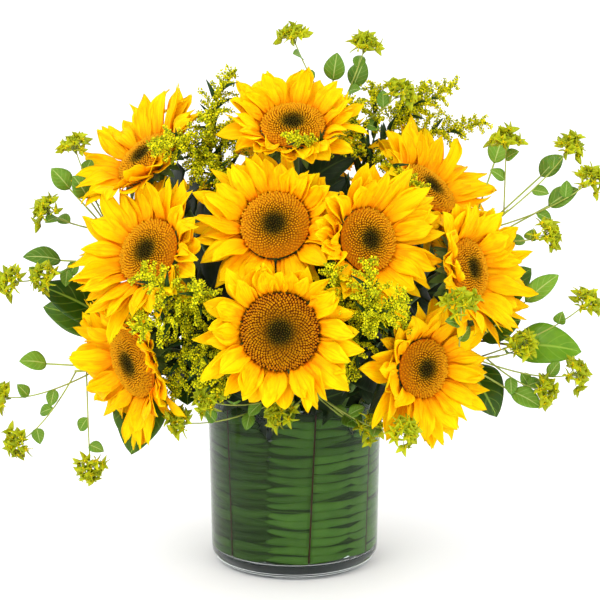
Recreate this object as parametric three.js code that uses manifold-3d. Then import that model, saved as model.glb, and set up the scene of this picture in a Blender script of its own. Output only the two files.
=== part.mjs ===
// Sunflowers in a vase: a full, domed bunch of sunflowers with goldenrod, bupleurum
// and salal, standing in water in a thick glass cylinder whose wall is lined inside
// with sword-fern fronds. Millimetres, +Z up. The origin is the middle of the vase's
// foot, and the front of the bunch looks along -Y.
import * as THREE from "three";
import { mergeVertices } from "three/addons/utils/BufferGeometryUtils.js";
import Module from "manifold-3d";

const wasm = await Module();
wasm.setup();

// ---------------------------------------------------------------- driving dimensions
const GAP = 0.35; // left between pieces that touch

const VASE = {
  height: 152,
  rimRadius: 76,
  footRadius: 73.2, // where the straight wall would meet the table
  wall: 4,
  base: 12,
  heel: 13, // radius of the outer bottom edge
  corner: 5, // radius inside, where wall meets base
  sides: 24,
};
const WATER = { level: 104, radius: 63.5, sides: 24 };
const FROND = {
  count: 6,
  leaflets: 8, // up each side of the midrib, larger than life
  bottom: 17.5,
  top: 149,
  thick: 0.9,
  rib: 2.4, // width of the midrib
  edge: 0.5, // kept clear at each side of a frond
  firstRib: 282, // direction of the first midrib, seen from above, in degrees
};
const BLOOM = {
  petals: 9, // in each of two layers, fewer than in life
  thick: 0.9, // of a petal
  layerDrop: 3, // from the upper layer down to the lower one
  upperRise: 27, // degrees that the upper petals stand forward of the disc
  lowerRise: 14,
  arch: 26, // degrees that a petal bends back on its way to the tip
  crowdTrim: 0.3, // share that petals lose on the side of the bunch's middle
  crowdFold: 12, // degrees that they fold forward there
  crowdSpread: 50, // degrees to either side over which this fades
  rootMargin: 1.6, // from the disc's rim out to the upper petals' roots
  rootStep: 1.7, // from the upper petals' roots out to the lower ones'
  hub: 0.7, // radius of the core between the layers, as a share of the disc's
  discSides: 10,
  knob: 0.8, // height of the florets' relief on the disc
  bracts: 6,
  bractLength: 15,
  backDepth: 13, // of the green back behind the petals
  stemRadius: 4.3,
  neck: 34, // straight stretch of stem behind the head
};
const SPRIG = {
  stem: 1.9,
  branch: 1.0,
  plume: 8,
  knob: 0.42, // share that the knobs of a plume stand out and in
  knobStep: 10,
  umbel: 14,
  leaf: 0.8,
  arch: 0.22,
  spacing: 0.03, // between branches on the main stem, as a share of its length
};
const LEAF_FACING = [0, -0.8, 0.6]; // leaves turn their faces forward and up
const FOOT_Z = VASE.base + GAP;
const STRAIGHT_Z = 122; // height up to which every stem stands upright

// Each bloom: middle of its disc, the way it faces (turn to the right of the front,
// tilt above level), disc radius, reach of its petals, and where its stem stands.
const BLOOMS = [
  { name: "front", at: [-11, -150, 237], turn: -1, tilt: 7, disc: 31, reach: 68, foot: [-4, -54] },
  { name: "centre", at: [-15, -108, 315], turn: -8, tilt: 28, disc: 28, reach: 67, foot: [-5, -39] },
  { name: "top", at: [-1, -68, 390], turn: -3, tilt: 55, disc: 26, reach: 66, foot: [0, -23] },
  { name: "right_centre", at: [58, -112, 304], turn: 34, tilt: 15, disc: 26, reach: 68, foot: [17, -42] },
  { name: "lower_right", at: [104, -112, 198], turn: 34, tilt: 5, disc: 24, reach: 69, foot: [36, -38] },
  { name: "right", at: [142, -80, 274], turn: 54, tilt: 15, disc: 25, reach: 68, foot: [45, -20] },
  { name: "upper_right", at: [112, -31, 332], turn: 58, tilt: 46, disc: 26, reach: 69, foot: [28, -12] },
  { name: "left", at: [-117, -98, 291], turn: -37, tilt: 28, disc: 28, reach: 70, foot: [-28, -36] },
  { name: "lower_left", at: [-132, -84, 197], turn: -52, tilt: -10, disc: 30, reach: 69, foot: [-47, -25] },
  { name: "upper_left", at: [-124, -35, 359], turn: -56, tilt: 46, disc: 26, reach: 70, foot: [-30, -14] },
  { name: "back_left", at: [-98, 84, 272], turn: -138, tilt: 22, disc: 27, reach: 66, foot: [-34, 34] },
  { name: "back_right", at: [104, 78, 276], turn: 132, tilt: 22, disc: 27, reach: 66, foot: [34, 34] },
  { name: "back_top", at: [4, 74, 352], turn: 178, tilt: 44, disc: 27, reach: 66, foot: [2, 26] },
];
const MIDDLE = [0, -50, 290]; // of the bunch, which the heads crowd round

// Each sprig: where its stem stands, where it forks, and what it bears there. A plume
// is a line of points from its base to its tip, an umbel the middle of its stars, and
// a leaf its root and tip.
const SPRIGS = [
  {
    name: "goldenrod_1", foot: [-17, -3], fork: [-70, -32, 352],
    plumes: [
      [[-71, -33, 366], [-67, -35, 405], [-50, -30, 434]],
      [[-72, -36, 358], [-78, -64, 366], [-88, -92, 354]],
      [[-70, -40, 368], [-68, -56, 388], [-74, -66, 398]],
      [[-66, -38, 350], [-62, -62, 352], [-60, -86, 346]],
      [[-62, -30, 366], [-52, -42, 378], [-44, -58, 380]],
    ],
  },
  {
    name: "goldenrod_2", foot: [-17, -50], fork: [-70, -104, 238],
    plumes: [
      [[-74, -110, 246], [-88, -134, 262], [-103, -146, 276]],
      [[-72, -112, 244], [-72, -136, 258], [-70, -150, 274]],
      [[-76, -106, 240], [-96, -124, 240], [-114, -136, 234]],
      [[-70, -108, 230], [-72, -132, 214], [-76, -144, 188]],
      [[-66, -110, 226], [-60, -134, 204], [-56, -146, 180]],
      [[-80, -100, 226], [-94, -116, 196], [-100, -122, 162]],
    ],
  },
  {
    name: "goldenrod_3", foot: [28, -50], fork: [52, -104, 228],
    plumes: [
      [[56, -134, 236], [62, -160, 256], [62, -162, 286]],
      [[58, -134, 238], [74, -158, 250], [94, -158, 264]],
      [[50, -114, 236], [48, -138, 244], [38, -158, 264]],
      [[52, -112, 222], [48, -134, 214], [38, -138, 190]],
      [[58, -108, 234], [80, -134, 236], [90, -150, 244]],
      [[46, -108, 240], [32, -132, 262], [26, -146, 282]],
    ],
  },
  {
    name: "goldenrod_4", foot: [14, -4], fork: [66, -16, 358],
    plumes: [
      [[60, -24, 374], [48, -30, 390], [47, -32, 410]],
      [[68, -16, 378], [68, -12, 398], [66, -10, 422]],
      [[80, 0, 378], [100, 8, 400], [113, 4, 418]],
      [[84, 12, 380], [112, 12, 402], [138, 0, 420]],
      [[88, 18, 370], [130, 32, 378], [166, 16, 392]],
      [[58, -30, 362], [44, -50, 368], [36, -66, 374]],
      [[64, -34, 358], [62, -56, 362], [58, -70, 370]],
    ],
  },
  {
    name: "salal_1", foot: [-56, 14], fork: [-122, -22, 196],
    leaves: [
      [[-104, -50, 168], [-138, -84, 112], 44],
      [[-152, -30, 224], [-208, -62, 262], 36],
      [[-150, -22, 204], [-214, -28, 206], 38],
      [[-140, -8, 216], [-176, 34, 236], 40],
    ],
  },
  {
    name: "salal_2", foot: [56, 14], fork: [150, -36, 206],
    leaves: [
      [[168, -46, 208], [226, -62, 204], 38],
      [[152, -52, 192], [170, -80, 148], 38],
      [[162, -26, 222], [204, -10, 262], 36],
      [[150, -14, 212], [176, 34, 226], 40],
    ],
  },
  {
    name: "salal_3", foot: [0, 56], fork: [0, 112, 216],
    leaves: [
      [[-4, 114, 218], [-46, 140, 236], 40],
      [[4, 114, 218], [46, 140, 232], 40],
      [[0, 118, 212], [2, 152, 176], 42],
      [[0, 114, 224], [-4, 130, 270], 38],
    ],
  },
  {
    name: "bupleurum_1", foot: [-53, -8], fork: [-178, -30, 306],
    umbels: [[-210, -40, 318], [-209, -75, 266], [-237, -76, 264], [-186, -18, 372]],
    leaves: [
      [[-180, -30, 312], [-186, -20, 346]],
      [[-184, -40, 296], [-226, -66, 282]],
      [[-190, -24, 318], [-206, -20, 350]],
    ],
  },
  {
    name: "bupleurum_2", foot: [-42, 4], fork: [-196, -34, 176],
    umbels: [[-236, -68, 122], [-172, -80, 102], [-250, -56, 160]],
    leaves: [
      [[-204, -42, 176], [-232, -62, 192]],
      [[-200, -46, 164], [-150, -74, 122]],
    ],
  },
  {
    name: "bupleurum_3", foot: [54, 0], fork: [186, -22, 318],
    umbels: [[178, -24, 378], [234, -22, 370], [250, -40, 344], [214, -52, 300]],
    leaves: [
      [[184, -6, 340], [180, 14, 374]],
      [[202, -16, 336], [230, 2, 358]],
      [[196, -34, 328], [240, -30, 334]],
    ],
  },
  {
    name: "bupleurum_4", foot: [49, -32], fork: [176, -74, 200],
    umbels: [[190, -94, 214], [210, -82, 172], [236, -80, 186], [246, -70, 246]],
    leaves: [
      [[184, -76, 194], [206, -86, 158]],
      [[190, -60, 222], [224, -40, 262]],
    ],
  },
  {
    name: "bupleurum_5", foot: [2, -2], fork: [36, -14, 404],
    umbels: [[-2, -24, 464], [60, -22, 456], [90, -24, 410]],
    leaves: [
      [[38, -14, 412], [36, -22, 448]],
      [[46, -6, 408], [60, 10, 438]],
    ],
  },
  {
    name: "bupleurum_6", foot: [10, -58], fork: [12, -94, 170],
    umbels: [[-13, -122, 163], [-71, -138, 178], [-96, -112, 153], [64, -106, 138], [90, -162, 156]],
    leaves: [[[30, -98, 164], [56, -106, 146]]],
  },
];

// ---------------------------------------------------------------- small tools
const radians = THREE.MathUtils.degToRad;
const vec = (x, y, z) => new THREE.Vector3(x, y, z);
const flat = (radius, angle) => new THREE.Vector2(radius * Math.cos(angle), radius * Math.sin(angle));
const UP = vec(0, 0, 1);

// A fixed scatter from -1 to 1, the same in every build.
function scatter(seed, index) {
  const wave = Math.sin(seed * 12.9898 + index * 78.233 + 4.1) * 43758.5453;
  return 2 * (wave - Math.floor(wave)) - 1;
}

// Moves every corner of a geometry by a formula.
function reshape(geometry, formula) {
  const corners = geometry.getAttribute("position");
  const point = new THREE.Vector3();
  for (let i = 0; i < corners.count; i++) {
    formula(point.fromBufferAttribute(corners, i), i);
    corners.setXYZ(i, point.x, point.y, point.z);
  }
  return geometry;
}

// A closed geometry as a solid that can be joined to others and tested against them.
function solidOf(geometry) {
  const bare = geometry.clone();
  for (const extra of ["normal", "uv"]) bare.deleteAttribute(extra);
  const merged = mergeVertices(bare, 1e-3);
  const mesh = new wasm.Mesh({
    numProp: 3,
    vertProperties: merged.attributes.position.array,
    triVerts: new Uint32Array(merged.index.array),
  });
  return new wasm.Manifold(mesh);
}

// The largest body of a join, so that no loose scrap is kept.
function join(solids) {
  const bodies = wasm.Manifold.union(solids).decompose();
  return bodies.reduce((best, body) => (body.volume() > best.volume() ? body : best));
}

function geometryOf(solid) {
  const mesh = solid.getMesh();
  const position = new THREE.BufferAttribute(new Float32Array(mesh.vertProperties), 3);
  const index = new THREE.BufferAttribute(new Uint32Array(mesh.triVerts), 1);
  const geometry = new THREE.BufferGeometry().setAttribute("position", position).setIndex(index);
  geometry.computeVertexNormals();
  return geometry;
}

const near = (a, b) => {
  const [p, q] = [a.boundingBox(), b.boundingBox()];
  return [0, 1, 2].every((k) => p.min[k] < q.max[k] + GAP && q.min[k] < p.max[k] + GAP);
};
const touches = (a, b) => near(a, b) && a.minGap(b, GAP) < 0.8 * GAP;
const clearOf = (solid, others) => !others.some((other) => touches(solid, other));

// ---------------------------------------------------------------- materials
const finish = (colour, roughness, more = {}) =>
  new THREE.MeshStandardMaterial({ color: colour, roughness, metalness: 0, ...more });
const MATERIAL = {
  glass: finish(0xdfe8e6, 0.05, { transparent: true, opacity: 0.3 }),
  water: finish(0xcfe0dc, 0.02, { transparent: true, opacity: 0.4 }),
  fern: finish(0x47652f, 0.6),
  petal: finish(0xffc400, 0.55),
  disc: finish(0x8a5a12, 0.85),
  stem: finish(0x5c7a34, 0.6),
  goldenrod: finish(0xc9c21c, 0.8),
  bupleurum: finish(0x9db82e, 0.65),
  salal: finish(0x2f5a24, 0.45),
};

const bouquet = new THREE.Group();
function show(name, geometry, material, parent = bouquet) {
  const mesh = new THREE.Mesh(geometry, material);
  mesh.name = name;
  parent.add(mesh);
}

// ---------------------------------------------------------------- vase, lining, water
const outerRadius = (z) =>
  VASE.footRadius + ((VASE.rimRadius - VASE.footRadius) * z) / VASE.height;
const innerRadius = (z) => outerRadius(z) - VASE.wall;

function vaseGeometry() {
  const { height, wall, base, heel, corner, sides } = VASE;
  const arc = (middle, z, radius, turns) =>
    turns.map(radians).map(
      (a) => new THREE.Vector2(middle + radius * Math.sin(a), z + radius * (1 - Math.cos(a))),
    );
  const profile = [
    new THREE.Vector2(0, 0),
    ...arc(outerRadius(heel) - heel, 0, heel, [0, 30, 60, 90]),
    new THREE.Vector2(outerRadius(height) - 0.4, height - wall / 2),
    new THREE.Vector2(outerRadius(height) - wall / 2, height),
    new THREE.Vector2(innerRadius(height) + 0.4, height - wall / 2),
    ...arc(innerRadius(base + corner) - corner, base, corner, [90, 45, 0]),
    new THREE.Vector2(0, base),
  ];
  return new THREE.LatheGeometry(profile, sides).rotateX(Math.PI / 2);
}

// One fern frond pressed against the glass: a thin blade, cut to the midrib between
// its leaflets and bent round the wall. Its two halves meet along the midrib.
function frondSolid(number) {
  const { count, leaflets, bottom, thick, rib, edge, firstRib } = FROND;
  const lining = (z) => innerRadius(z) * Math.cos(Math.PI / VASE.sides) - GAP;
  const half = (lining(bottom) * Math.PI) / count - edge;
  const top = FROND.top - 4 - 4 * scatter(31, number);
  const pitch = (top - bottom) / leaflets;
  const direction = radians(firstRib + (number * 360) / count);
  const halves = [1, -1].map((sign) => {
    const outline = [[0, bottom]];
    for (let leaflet = 0; leaflet < leaflets; leaflet++) {
      const z = bottom + leaflet * pitch;
      const reach = half - 1 - scatter(number + 5 * sign, leaflet);
      const edges = [[rib / 2, z], [reach, z + 0.2 * pitch], [reach - 2.5, z + 0.92 * pitch]];
      outline.push(...edges.map(([x, height]) => [sign * x, height]));
    }
    outline.push([0, top]);
    const shape = new THREE.Shape(outline.map(([x, z]) => new THREE.Vector2(x, z)));
    const blade = new THREE.ExtrudeGeometry(shape, { depth: thick, bevelEnabled: false });
    return reshape(blade, (p) => {
      const [x, z, depth] = [p.x, p.y, p.z];
      const angle = direction + x / lining(bottom);
      const radius = lining(z) - thick + depth;
      p.set(radius * Math.cos(angle), radius * Math.sin(angle), z);
    });
  });
  return join(halves.map(solidOf));
}

// Water with one plain upright hole for each stem.
function waterGeometry(stems) {
  const column = (radius, sides, x, y, depth) =>
    new THREE.CylinderGeometry(radius, radius, depth, sides)
      .rotateX(Math.PI / 2)
      .translate(x, y, FOOT_Z + (WATER.level - FOOT_Z) / 2);
  const depth = WATER.level - FOOT_Z;
  let water = solidOf(column(WATER.radius, WATER.sides, 0, 0, depth));
  for (const { foot, radius, sides } of stems) {
    const clear = (radius + GAP) / Math.cos(Math.PI / sides);
    water = water.subtract(solidOf(column(clear, sides, ...foot, depth + 10)));
  }
  return geometryOf(water);
}

// ---------------------------------------------------------------- stems, leaves, stars
function tubeGeometry(path, radius, sides, steps) {
  const section = Array.from({ length: sides }, (_, i) => flat(radius, (i * 2 * Math.PI) / sides));
  const settings = { steps, extrudePath: path, bevelEnabled: false };
  return new THREE.ExtrudeGeometry(new THREE.Shape(section), settings);
}

// A stem stands upright in the vase, then leans out and arrives through "behind".
function stemPath([x, y], behind, end, lift = 0.42) {
  const path = new THREE.CurvePath();
  const shoulder = vec(x, y, STRAIGHT_Z);
  const above = vec(x, y, STRAIGHT_Z + Math.max(56, lift * (end.z - STRAIGHT_Z)));
  path.add(new THREE.LineCurve3(vec(x, y, FOOT_Z), shoulder));
  path.add(new THREE.CubicBezierCurve3(shoulder, above, behind, end));
  return path;
}

// A thin pointed leaf on its stalk, arched along its length. The blade is the last
// part of it, as a share of the whole.
function leafGeometry(root, tip, width, bladeShare) {
  const length = root.distanceTo(tip);
  const blade = (share) => (1 - bladeShare * (1 - share)) * length;
  const half = width / 2;
  const edge = [[SPRIG.branch, 0], [SPRIG.branch, blade(0)], [half, blade(0.36)], [0.7 * half, blade(0.73)]];
  const right = edge.map(([across, along]) => new THREE.Vector2(across, along));
  const left = right.map((p) => new THREE.Vector2(-p.x, p.y)).reverse();
  const outline = new THREE.Shape([...right, new THREE.Vector2(0, length), ...left]);
  const leaf = new THREE.ExtrudeGeometry(outline, { depth: SPRIG.leaf, bevelEnabled: false });
  reshape(leaf, (p) => {
    const share = p.y / length;
    p.z += SPRIG.arch * length * share * (1 - share) - SPRIG.leaf / 2;
  });
  const forward = tip.clone().sub(root).normalize();
  const across = forward.clone().cross(vec(...LEAF_FACING)).normalize();
  const face = across.clone().cross(forward);
  return leaf.applyMatrix4(new THREE.Matrix4().makeBasis(across, forward, face).setPosition(root));
}

// A star of pointed bracts: a flat round bead whose rim goes in and out.
function starGeometry(middle, facing, radius, points) {
  const bead = new THREE.SphereGeometry(1, 2 * points, 2);
  reshape(bead, (p) => {
    const onRim = Math.abs(p.y) < 0.5;
    const number = Math.round(Math.atan2(p.z, p.x) / (Math.PI / points));
    const reach = onRim ? radius * (number % 2 ? 0.5 : 1) : 0;
    p.set(p.x * reach, onRim ? (0.2 * reach * reach) / radius : 1.3 * Math.sign(p.y), p.z * reach);
  });
  const turn = new THREE.Quaternion().setFromUnitVectors(vec(0, 1, 0), facing);
  return bead.applyQuaternion(turn).translate(...middle);
}

// A plume of florets on its bare stalk: a slim tapering core with knobs all round it.
function plumeGeometry(start, points) {
  const curve = new THREE.CatmullRomCurve3([start, ...points]);
  const length = curve.getLength();
  const bare = start.distanceTo(points[0]) / length;
  const sides = 4;
  const rows = 1 + Math.round(((1 - bare) * length) / SPRIG.knobStep);
  const fine = 8 * rows;
  const frames = curve.computeFrenetFrames(fine, false);
  const core = new THREE.CylinderGeometry(1, 1, 1, sides, rows);
  return reshape(core, (p) => {
    const row = Math.round((0.5 - p.y) * rows);
    const side = Math.round(Math.atan2(p.x, p.z) / ((2 * Math.PI) / sides)) + sides;
    const share = (row - 1) / (rows - 1); // of the way along the florets
    const knob = 1 + SPRIG.knob * ((row + (side % sides)) % 2 ? 1 : -1);
    const taper = 0.28 + 0.85 * Math.sin(Math.PI * Math.pow(Math.max(share, 0), 0.8));
    const radius = row ? SPRIG.plume * knob * taper : SPRIG.branch;
    const [across, up] = [p.x * radius, p.z * radius];
    const place = row ? bare + (1 - bare) * share : 0;
    const frame = Math.round(place * fine);
    p.copy(curve.getPointAt(place));
    p.addScaledVector(frames.normals[frame], across).addScaledVector(frames.binormals[frame], up);
  });
}

// ---------------------------------------------------------------- sunflower heads
// The head's own frame: +Z the way it faces, +Y the upward way across the disc.
function headFrame({ at, turn, tilt }) {
  const [a, e] = [radians(turn), radians(tilt)];
  const facing = vec(Math.sin(a) * Math.cos(e), -Math.cos(a) * Math.cos(e), Math.sin(e));
  const upward = UP.clone().addScaledVector(facing, -UP.dot(facing)).normalize();
  const across = upward.clone().cross(facing);
  return new THREE.Matrix4().makeBasis(across, upward, facing).setPosition(...at);
}

const PITCH = Math.PI / BLOOM.petals; // half the angle between petals of one layer
const hinge = (bloom, i) => bloom.disc + BLOOM.rootMargin + (i % 2) * BLOOM.rootStep;
const rootRadius = (bloom, i) => hinge(bloom, i) / Math.cos(PITCH);

// Petal i's own lengths and angles. Even petals are the upper layer.
function petalForm(bloom, i) {
  const vary = (k, size) => size * scatter(bloom.seed, 10 * i + k);
  const upper = i % 2 === 0;
  return {
    turn: i * PITCH,
    z: (upper ? 0 : -BLOOM.layerDrop) - BLOOM.thick / 2,
    length: (bloom.reach - hinge(bloom, i)) * (1.03 + vary(2, 0.09)) * bloom.trim[i],
    width: 2 * rootRadius(bloom, i) * PITCH * (0.97 + vary(5, 0.06)),
    rise: radians((upper ? BLOOM.upperRise : BLOOM.lowerRise) + vary(3, 2) + bloom.fold[i]),
    arch: radians(BLOOM.arch),
    twist: vary(4, 0.2),
    slant: vary(6, 0.05), // sideways lean of the tip, as a share of the length
  };
}

// Petal i's flat outline, anticlockwise from the notch before it.
function petalOutline(bloom, i) {
  const { turn, length, width, slant } = petalForm(bloom, i);
  const notch = flat(rootRadius(bloom, i), turn - PITCH);
  const corners = [
    [0.3, -0.49],
    [0.7, -0.36],
    [1, 0],
    [0.7, 0.36],
    [0.3, 0.49],
  ];
  const outline = corners.map(([along, across]) => {
    const aside = across * width + slant * length * along * along;
    return flat(hinge(bloom, i) + along * length, turn).add(flat(aside, turn + Math.PI / 2));
  });
  return [notch, ...outline];
}

// Bends petal i up from its hinge, and back again towards its tip.
function bendPetal(bloom, i, p) {
  const { turn, z, length, width, rise, arch, twist } = petalForm(bloom, i);
  const lift = p.z; // 0 on the rear face
  const along = p.x * Math.cos(turn) + p.y * Math.sin(turn) - hinge(bloom, i);
  const aside = p.y * Math.cos(turn) - p.x * Math.sin(turn);
  if (along < 0.01) {
    p.z = z + lift;
    return;
  }
  const start = rise + arch / 2;
  const lean = start - (arch * along) / length;
  const radius = length / arch;
  const roll = aside * Math.sin((twist * along) / length) + (0.22 * aside * aside) / (width / 2);
  const forward = radius * (Math.sin(start) - Math.sin(lean));
  const out = hinge(bloom, i) + forward - (lift + roll) * Math.sin(lean);
  p.set(
    out * Math.cos(turn) - aside * Math.sin(turn),
    out * Math.sin(turn) + aside * Math.cos(turn),
    z + radius * (Math.cos(lean) - Math.cos(start)) + (lift + roll) * Math.cos(lean),
  );
}

// One layer of petals: a single thin blade, cut into petals and bent up at their roots.
function layerGeometry(bloom, layer) {
  const outline = [];
  for (let i = layer; i < 2 * BLOOM.petals; i += 2) outline.push(...petalOutline(bloom, i));
  const settings = { depth: BLOOM.thick, bevelEnabled: false };
  return reshape(new THREE.ExtrudeGeometry(new THREE.Shape(outline), settings), (p) => {
    const number = Math.round((Math.atan2(p.y, p.x) / PITCH - layer) / 2) * 2 + layer;
    bendPetal(bloom, (number + 2 * BLOOM.petals) % (2 * BLOOM.petals), p);
  });
}

// Petal i alone, to test it against its neighbours.
function petalSolid(bloom, i) {
  const lastNotch = flat(rootRadius(bloom, i), petalForm(bloom, i).turn + PITCH);
  const outline = new THREE.Shape([...petalOutline(bloom, i), lastNotch]);
  const blade = new THREE.ExtrudeGeometry(outline, { depth: BLOOM.thick, bevelEnabled: false });
  reshape(blade, (p) => bendPetal(bloom, i, p));
  return solidOf(blade).transform(bloom.placing.elements);
}

// Both layers, joined by the core between them.
function crownSolid(bloom) {
  const depth = BLOOM.layerDrop;
  const radius = bloom.disc * BLOOM.hub;
  const core = new THREE.CylinderGeometry(radius, radius, depth, 8).rotateX(Math.PI / 2);
  core.translate(0, 0, -depth / 2);
  return join([layerGeometry(bloom, 0), layerGeometry(bloom, 1), core].map(solidOf));
}

// The disc: a low dome, dipped in the middle, its florets in relief along spirals.
function discGeometry(bloom) {
  const floor = BLOOM.thick / 2 + GAP;
  const height = (share) => 3 + 5.5 * (1 - share * share) - 3.2 * Math.exp(-12 * share * share);
  const shares = [1, 0.8, 0.56, 0.3];
  const profile = [
    new THREE.Vector2(0, floor),
    new THREE.Vector2(bloom.disc * 0.97, floor),
    ...shares.map((s) => new THREE.Vector2(bloom.disc * s, floor + height(s))),
    new THREE.Vector2(0, floor + height(0)),
  ];
  const sides = BLOOM.discSides;
  const dome = new THREE.LatheGeometry(profile, sides);
  reshape(dome, (p, i) => {
    const ring = i % profile.length;
    const sector = Math.floor(i / profile.length);
    if (ring < 2 || ring > 1 + shares.length) return;
    p.y += BLOOM.knob * ((ring + sector) % 2 ? 1 : -1);
    p.applyAxisAngle(vec(0, 1, 0), (0.5 * ring * 2 * Math.PI) / sides);
  });
  return dome.rotateX(Math.PI / 2);
}

// The green back of the head with its pointed bracts, and the stem down to its foot.
function stemSolid(bloom) {
  const { bracts, bractLength, thick, layerDrop, backDepth, stemRadius, neck } = BLOOM;
  const top = -layerDrop - thick / 2 - GAP;
  const radius = bloom.disc * 0.84;
  const outline = [];
  for (let i = 0; i < bracts; i++) {
    const turn = ((2 * i + 1) * Math.PI) / bracts;
    outline.push(flat(radius, turn - Math.PI / bracts));
    outline.push(flat(radius + bractLength * (1 + 0.15 * scatter(bloom.seed + 6, i)), turn));
  }
  const star = new THREE.ExtrudeGeometry(new THREE.Shape(outline), { depth: 1.1, bevelEnabled: false });
  reshape(star, (p) => {
    const beyond = Math.max(0, Math.hypot(p.x, p.y) - radius);
    p.z += top - 1.1 - beyond * 0.32;
  });
  const back = new THREE.CylinderGeometry(radius * 0.86, stemRadius * 1.3, backDepth, bracts);
  back.rotateX(Math.PI / 2).translate(0, 0, top - 0.6 - backDepth / 2);
  const inverse = bloom.placing.clone().invert();
  const behind = vec(0, 0, top - backDepth - neck).applyMatrix4(bloom.placing);
  const end = vec(0, 0, top - 0.6 * backDepth).applyMatrix4(bloom.placing);
  const stem = tubeGeometry(stemPath(bloom.foot, behind, end), stemRadius, 5, 5);
  return join([star, back, stem.applyMatrix4(inverse)].map(solidOf));
}

// Petals on the side of the bunch's middle are short and fold forward over the disc.
function crowdPetals(bloom) {
  const inward = vec(...MIDDLE).applyMatrix4(bloom.placing.clone().invert());
  const towards = Math.atan2(inward.y, inward.x);
  const crowding = Array.from({ length: 2 * BLOOM.petals }, (_, i) => {
    const aside = Math.acos(Math.cos(i * PITCH - towards));
    return Math.exp(-((aside / radians(BLOOM.crowdSpread)) ** 2));
  });
  bloom.fold = crowding.map((share) => BLOOM.crowdFold * share);
  bloom.trim = crowding.map((share) => 1 - BLOOM.crowdTrim * share);
}

// Petals give way to each other, as in a tight bunch: where two heads' petals would
// cross, those of the head in front fold forward and the others fold back. Petals
// against another head's stem or disc fold forward, and the last to settle are short.
function settlePetals(hard) {
  const [rounds, patience, step, spread] = [30, 6, 5, 1.3];
  const count = 2 * BLOOM.petals;
  const ahead = (a, b) => vec(...b.at).sub(vec(...a.at)).dot(UP.clone().transformDirection(a.placing));
  for (let round = 0; round < rounds; round++) {
    const crowns = BLOOMS.map((b) => crownSolid(b).transform(b.placing.elements));
    const pushes = [];
    const test = (bloom, other, way) => {
      for (let i = 0; i < count; i++)
        if (touches(petalSolid(bloom, i), other)) pushes.push([bloom, i, way]);
    };
    BLOOMS.forEach((bloom, n) => {
      BLOOMS.forEach((other, m) => {
        if (n === m) return;
        const way = ahead(bloom, other) < ahead(other, bloom) ? 1 : -0.7;
        if (touches(crowns[n], crowns[m])) test(bloom, crowns[m], way);
        if (touches(crowns[n], hard[m])) test(bloom, hard[m], 1);
      });
    });
    if (!pushes.length) return round;
    for (const [bloom, i, way] of pushes) {
      for (let k = -3; k <= 3; k++) {
        const j = (i + k + count) % count;
        const share = Math.exp(-(k * k) / (2 * spread * spread));
        bloom.fold[j] = THREE.MathUtils.clamp(bloom.fold[j] + way * step * share, -36, 42);
      }
      if (round > patience) bloom.trim[i] *= 0.94;
    }
    for (const bloom of BLOOMS)
      for (let i = 0; i < count; i += 2) {
        const beside = Math.max(bloom.fold[i + 1], bloom.fold[(i + count - 1) % count]);
        bloom.fold[i] = Math.max(bloom.fold[i], beside - 4);
      }
  }
  return -1;
}

BLOOMS.forEach((bloom, number) => {
  bloom.seed = number + 1;
  bloom.placing = headFrame(bloom);
  crowdPetals(bloom);
  bloom.stem = stemSolid(bloom);
});
const inPlace = (solid, bloom) => solid.transform(bloom.placing.elements);
const hardParts = BLOOMS.map((b) => inPlace(b.stem, b).add(inPlace(solidOf(discGeometry(b)), b)));
settlePetals(hardParts);

const fronds = Array.from({ length: FROND.count }, (_, number) => frondSolid(number));
const placed = [solidOf(vaseGeometry()), ...fronds, ...hardParts]; // sprigs keep clear
const stems = [];
for (const bloom of BLOOMS) {
  const head = new THREE.Group();
  bloom.placing.decompose(head.position, head.quaternion, head.scale);
  bouquet.add(head);
  const crown = crownSolid(bloom);
  show(`petals_${bloom.name}`, geometryOf(crown), MATERIAL.petal, head);
  show(`disc_${bloom.name}`, discGeometry(bloom), MATERIAL.disc, head);
  show(`stem_${bloom.name}`, geometryOf(bloom.stem), MATERIAL.stem, head);
  placed.push(inPlace(crown, bloom));
  stems.push({ foot: bloom.foot, radius: BLOOM.stemRadius, sides: 5 });
}

// ---------------------------------------------------------------- sprigs
// Where a part finds no room, it is nudged forward or back, and then aside as well.
const NUDGES = [[0, 0], [0, 8], [0, -8], [8, 0], [-8, 0]].flatMap(([aside, up]) =>
  [0, -8, 8, -16, 16, -24].map((back) => [aside, back, up]),
);

// What each part of a sprig is made of, from where it leaves the stem, given how far
// it is nudged from its place.
const FORMS = {
  plumes: (start, points, nudge) => {
    const moved = points.map((p, k) => vec(...p).addScaledVector(nudge, k / 2));
    return [plumeGeometry(start, moved)];
  },
  umbels: (start, middle, nudge) => {
    const place = vec(...middle).add(nudge);
    const facing = place.clone().sub(start).normalize().addScaledVector(UP, 0.5).normalize();
    const bend = place.clone().addScaledVector(facing, -0.35 * start.distanceTo(place));
    const stalk = new THREE.QuadraticBezierCurve3(start, bend, place);
    return [tubeGeometry(stalk, SPRIG.branch, 3, 2), starGeometry(place, facing, SPRIG.umbel, 6)];
  },
  leaves: (start, [root, tip, width = 22], nudge) => {
    const end = vec(...tip).add(nudge);
    const share = vec(...root).distanceTo(end) / start.distanceTo(end);
    return [leafGeometry(start, end, width, Math.min(share, 0.9))];
  },
};

const misplaced = [];
function mainStem(sprig) {
  const fork = vec(...sprig.fork);
  const outward = fork.clone().sub(vec(0, 0, 150)).normalize();
  for (const lift of [0.42, 0.6, 0.25, 0.8])
    for (const reach of [60, 40, 85, 110]) {
      const behind = fork.clone().addScaledVector(outward, -reach);
      behind.z = Math.max(behind.z, VASE.height + 26);
      const path = stemPath(sprig.foot, behind, fork, lift);
      const stem = solidOf(tubeGeometry(path, SPRIG.stem, 4, 6));
      if (clearOf(stem, placed)) return { path, stem };
    }
  return null;
}

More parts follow.
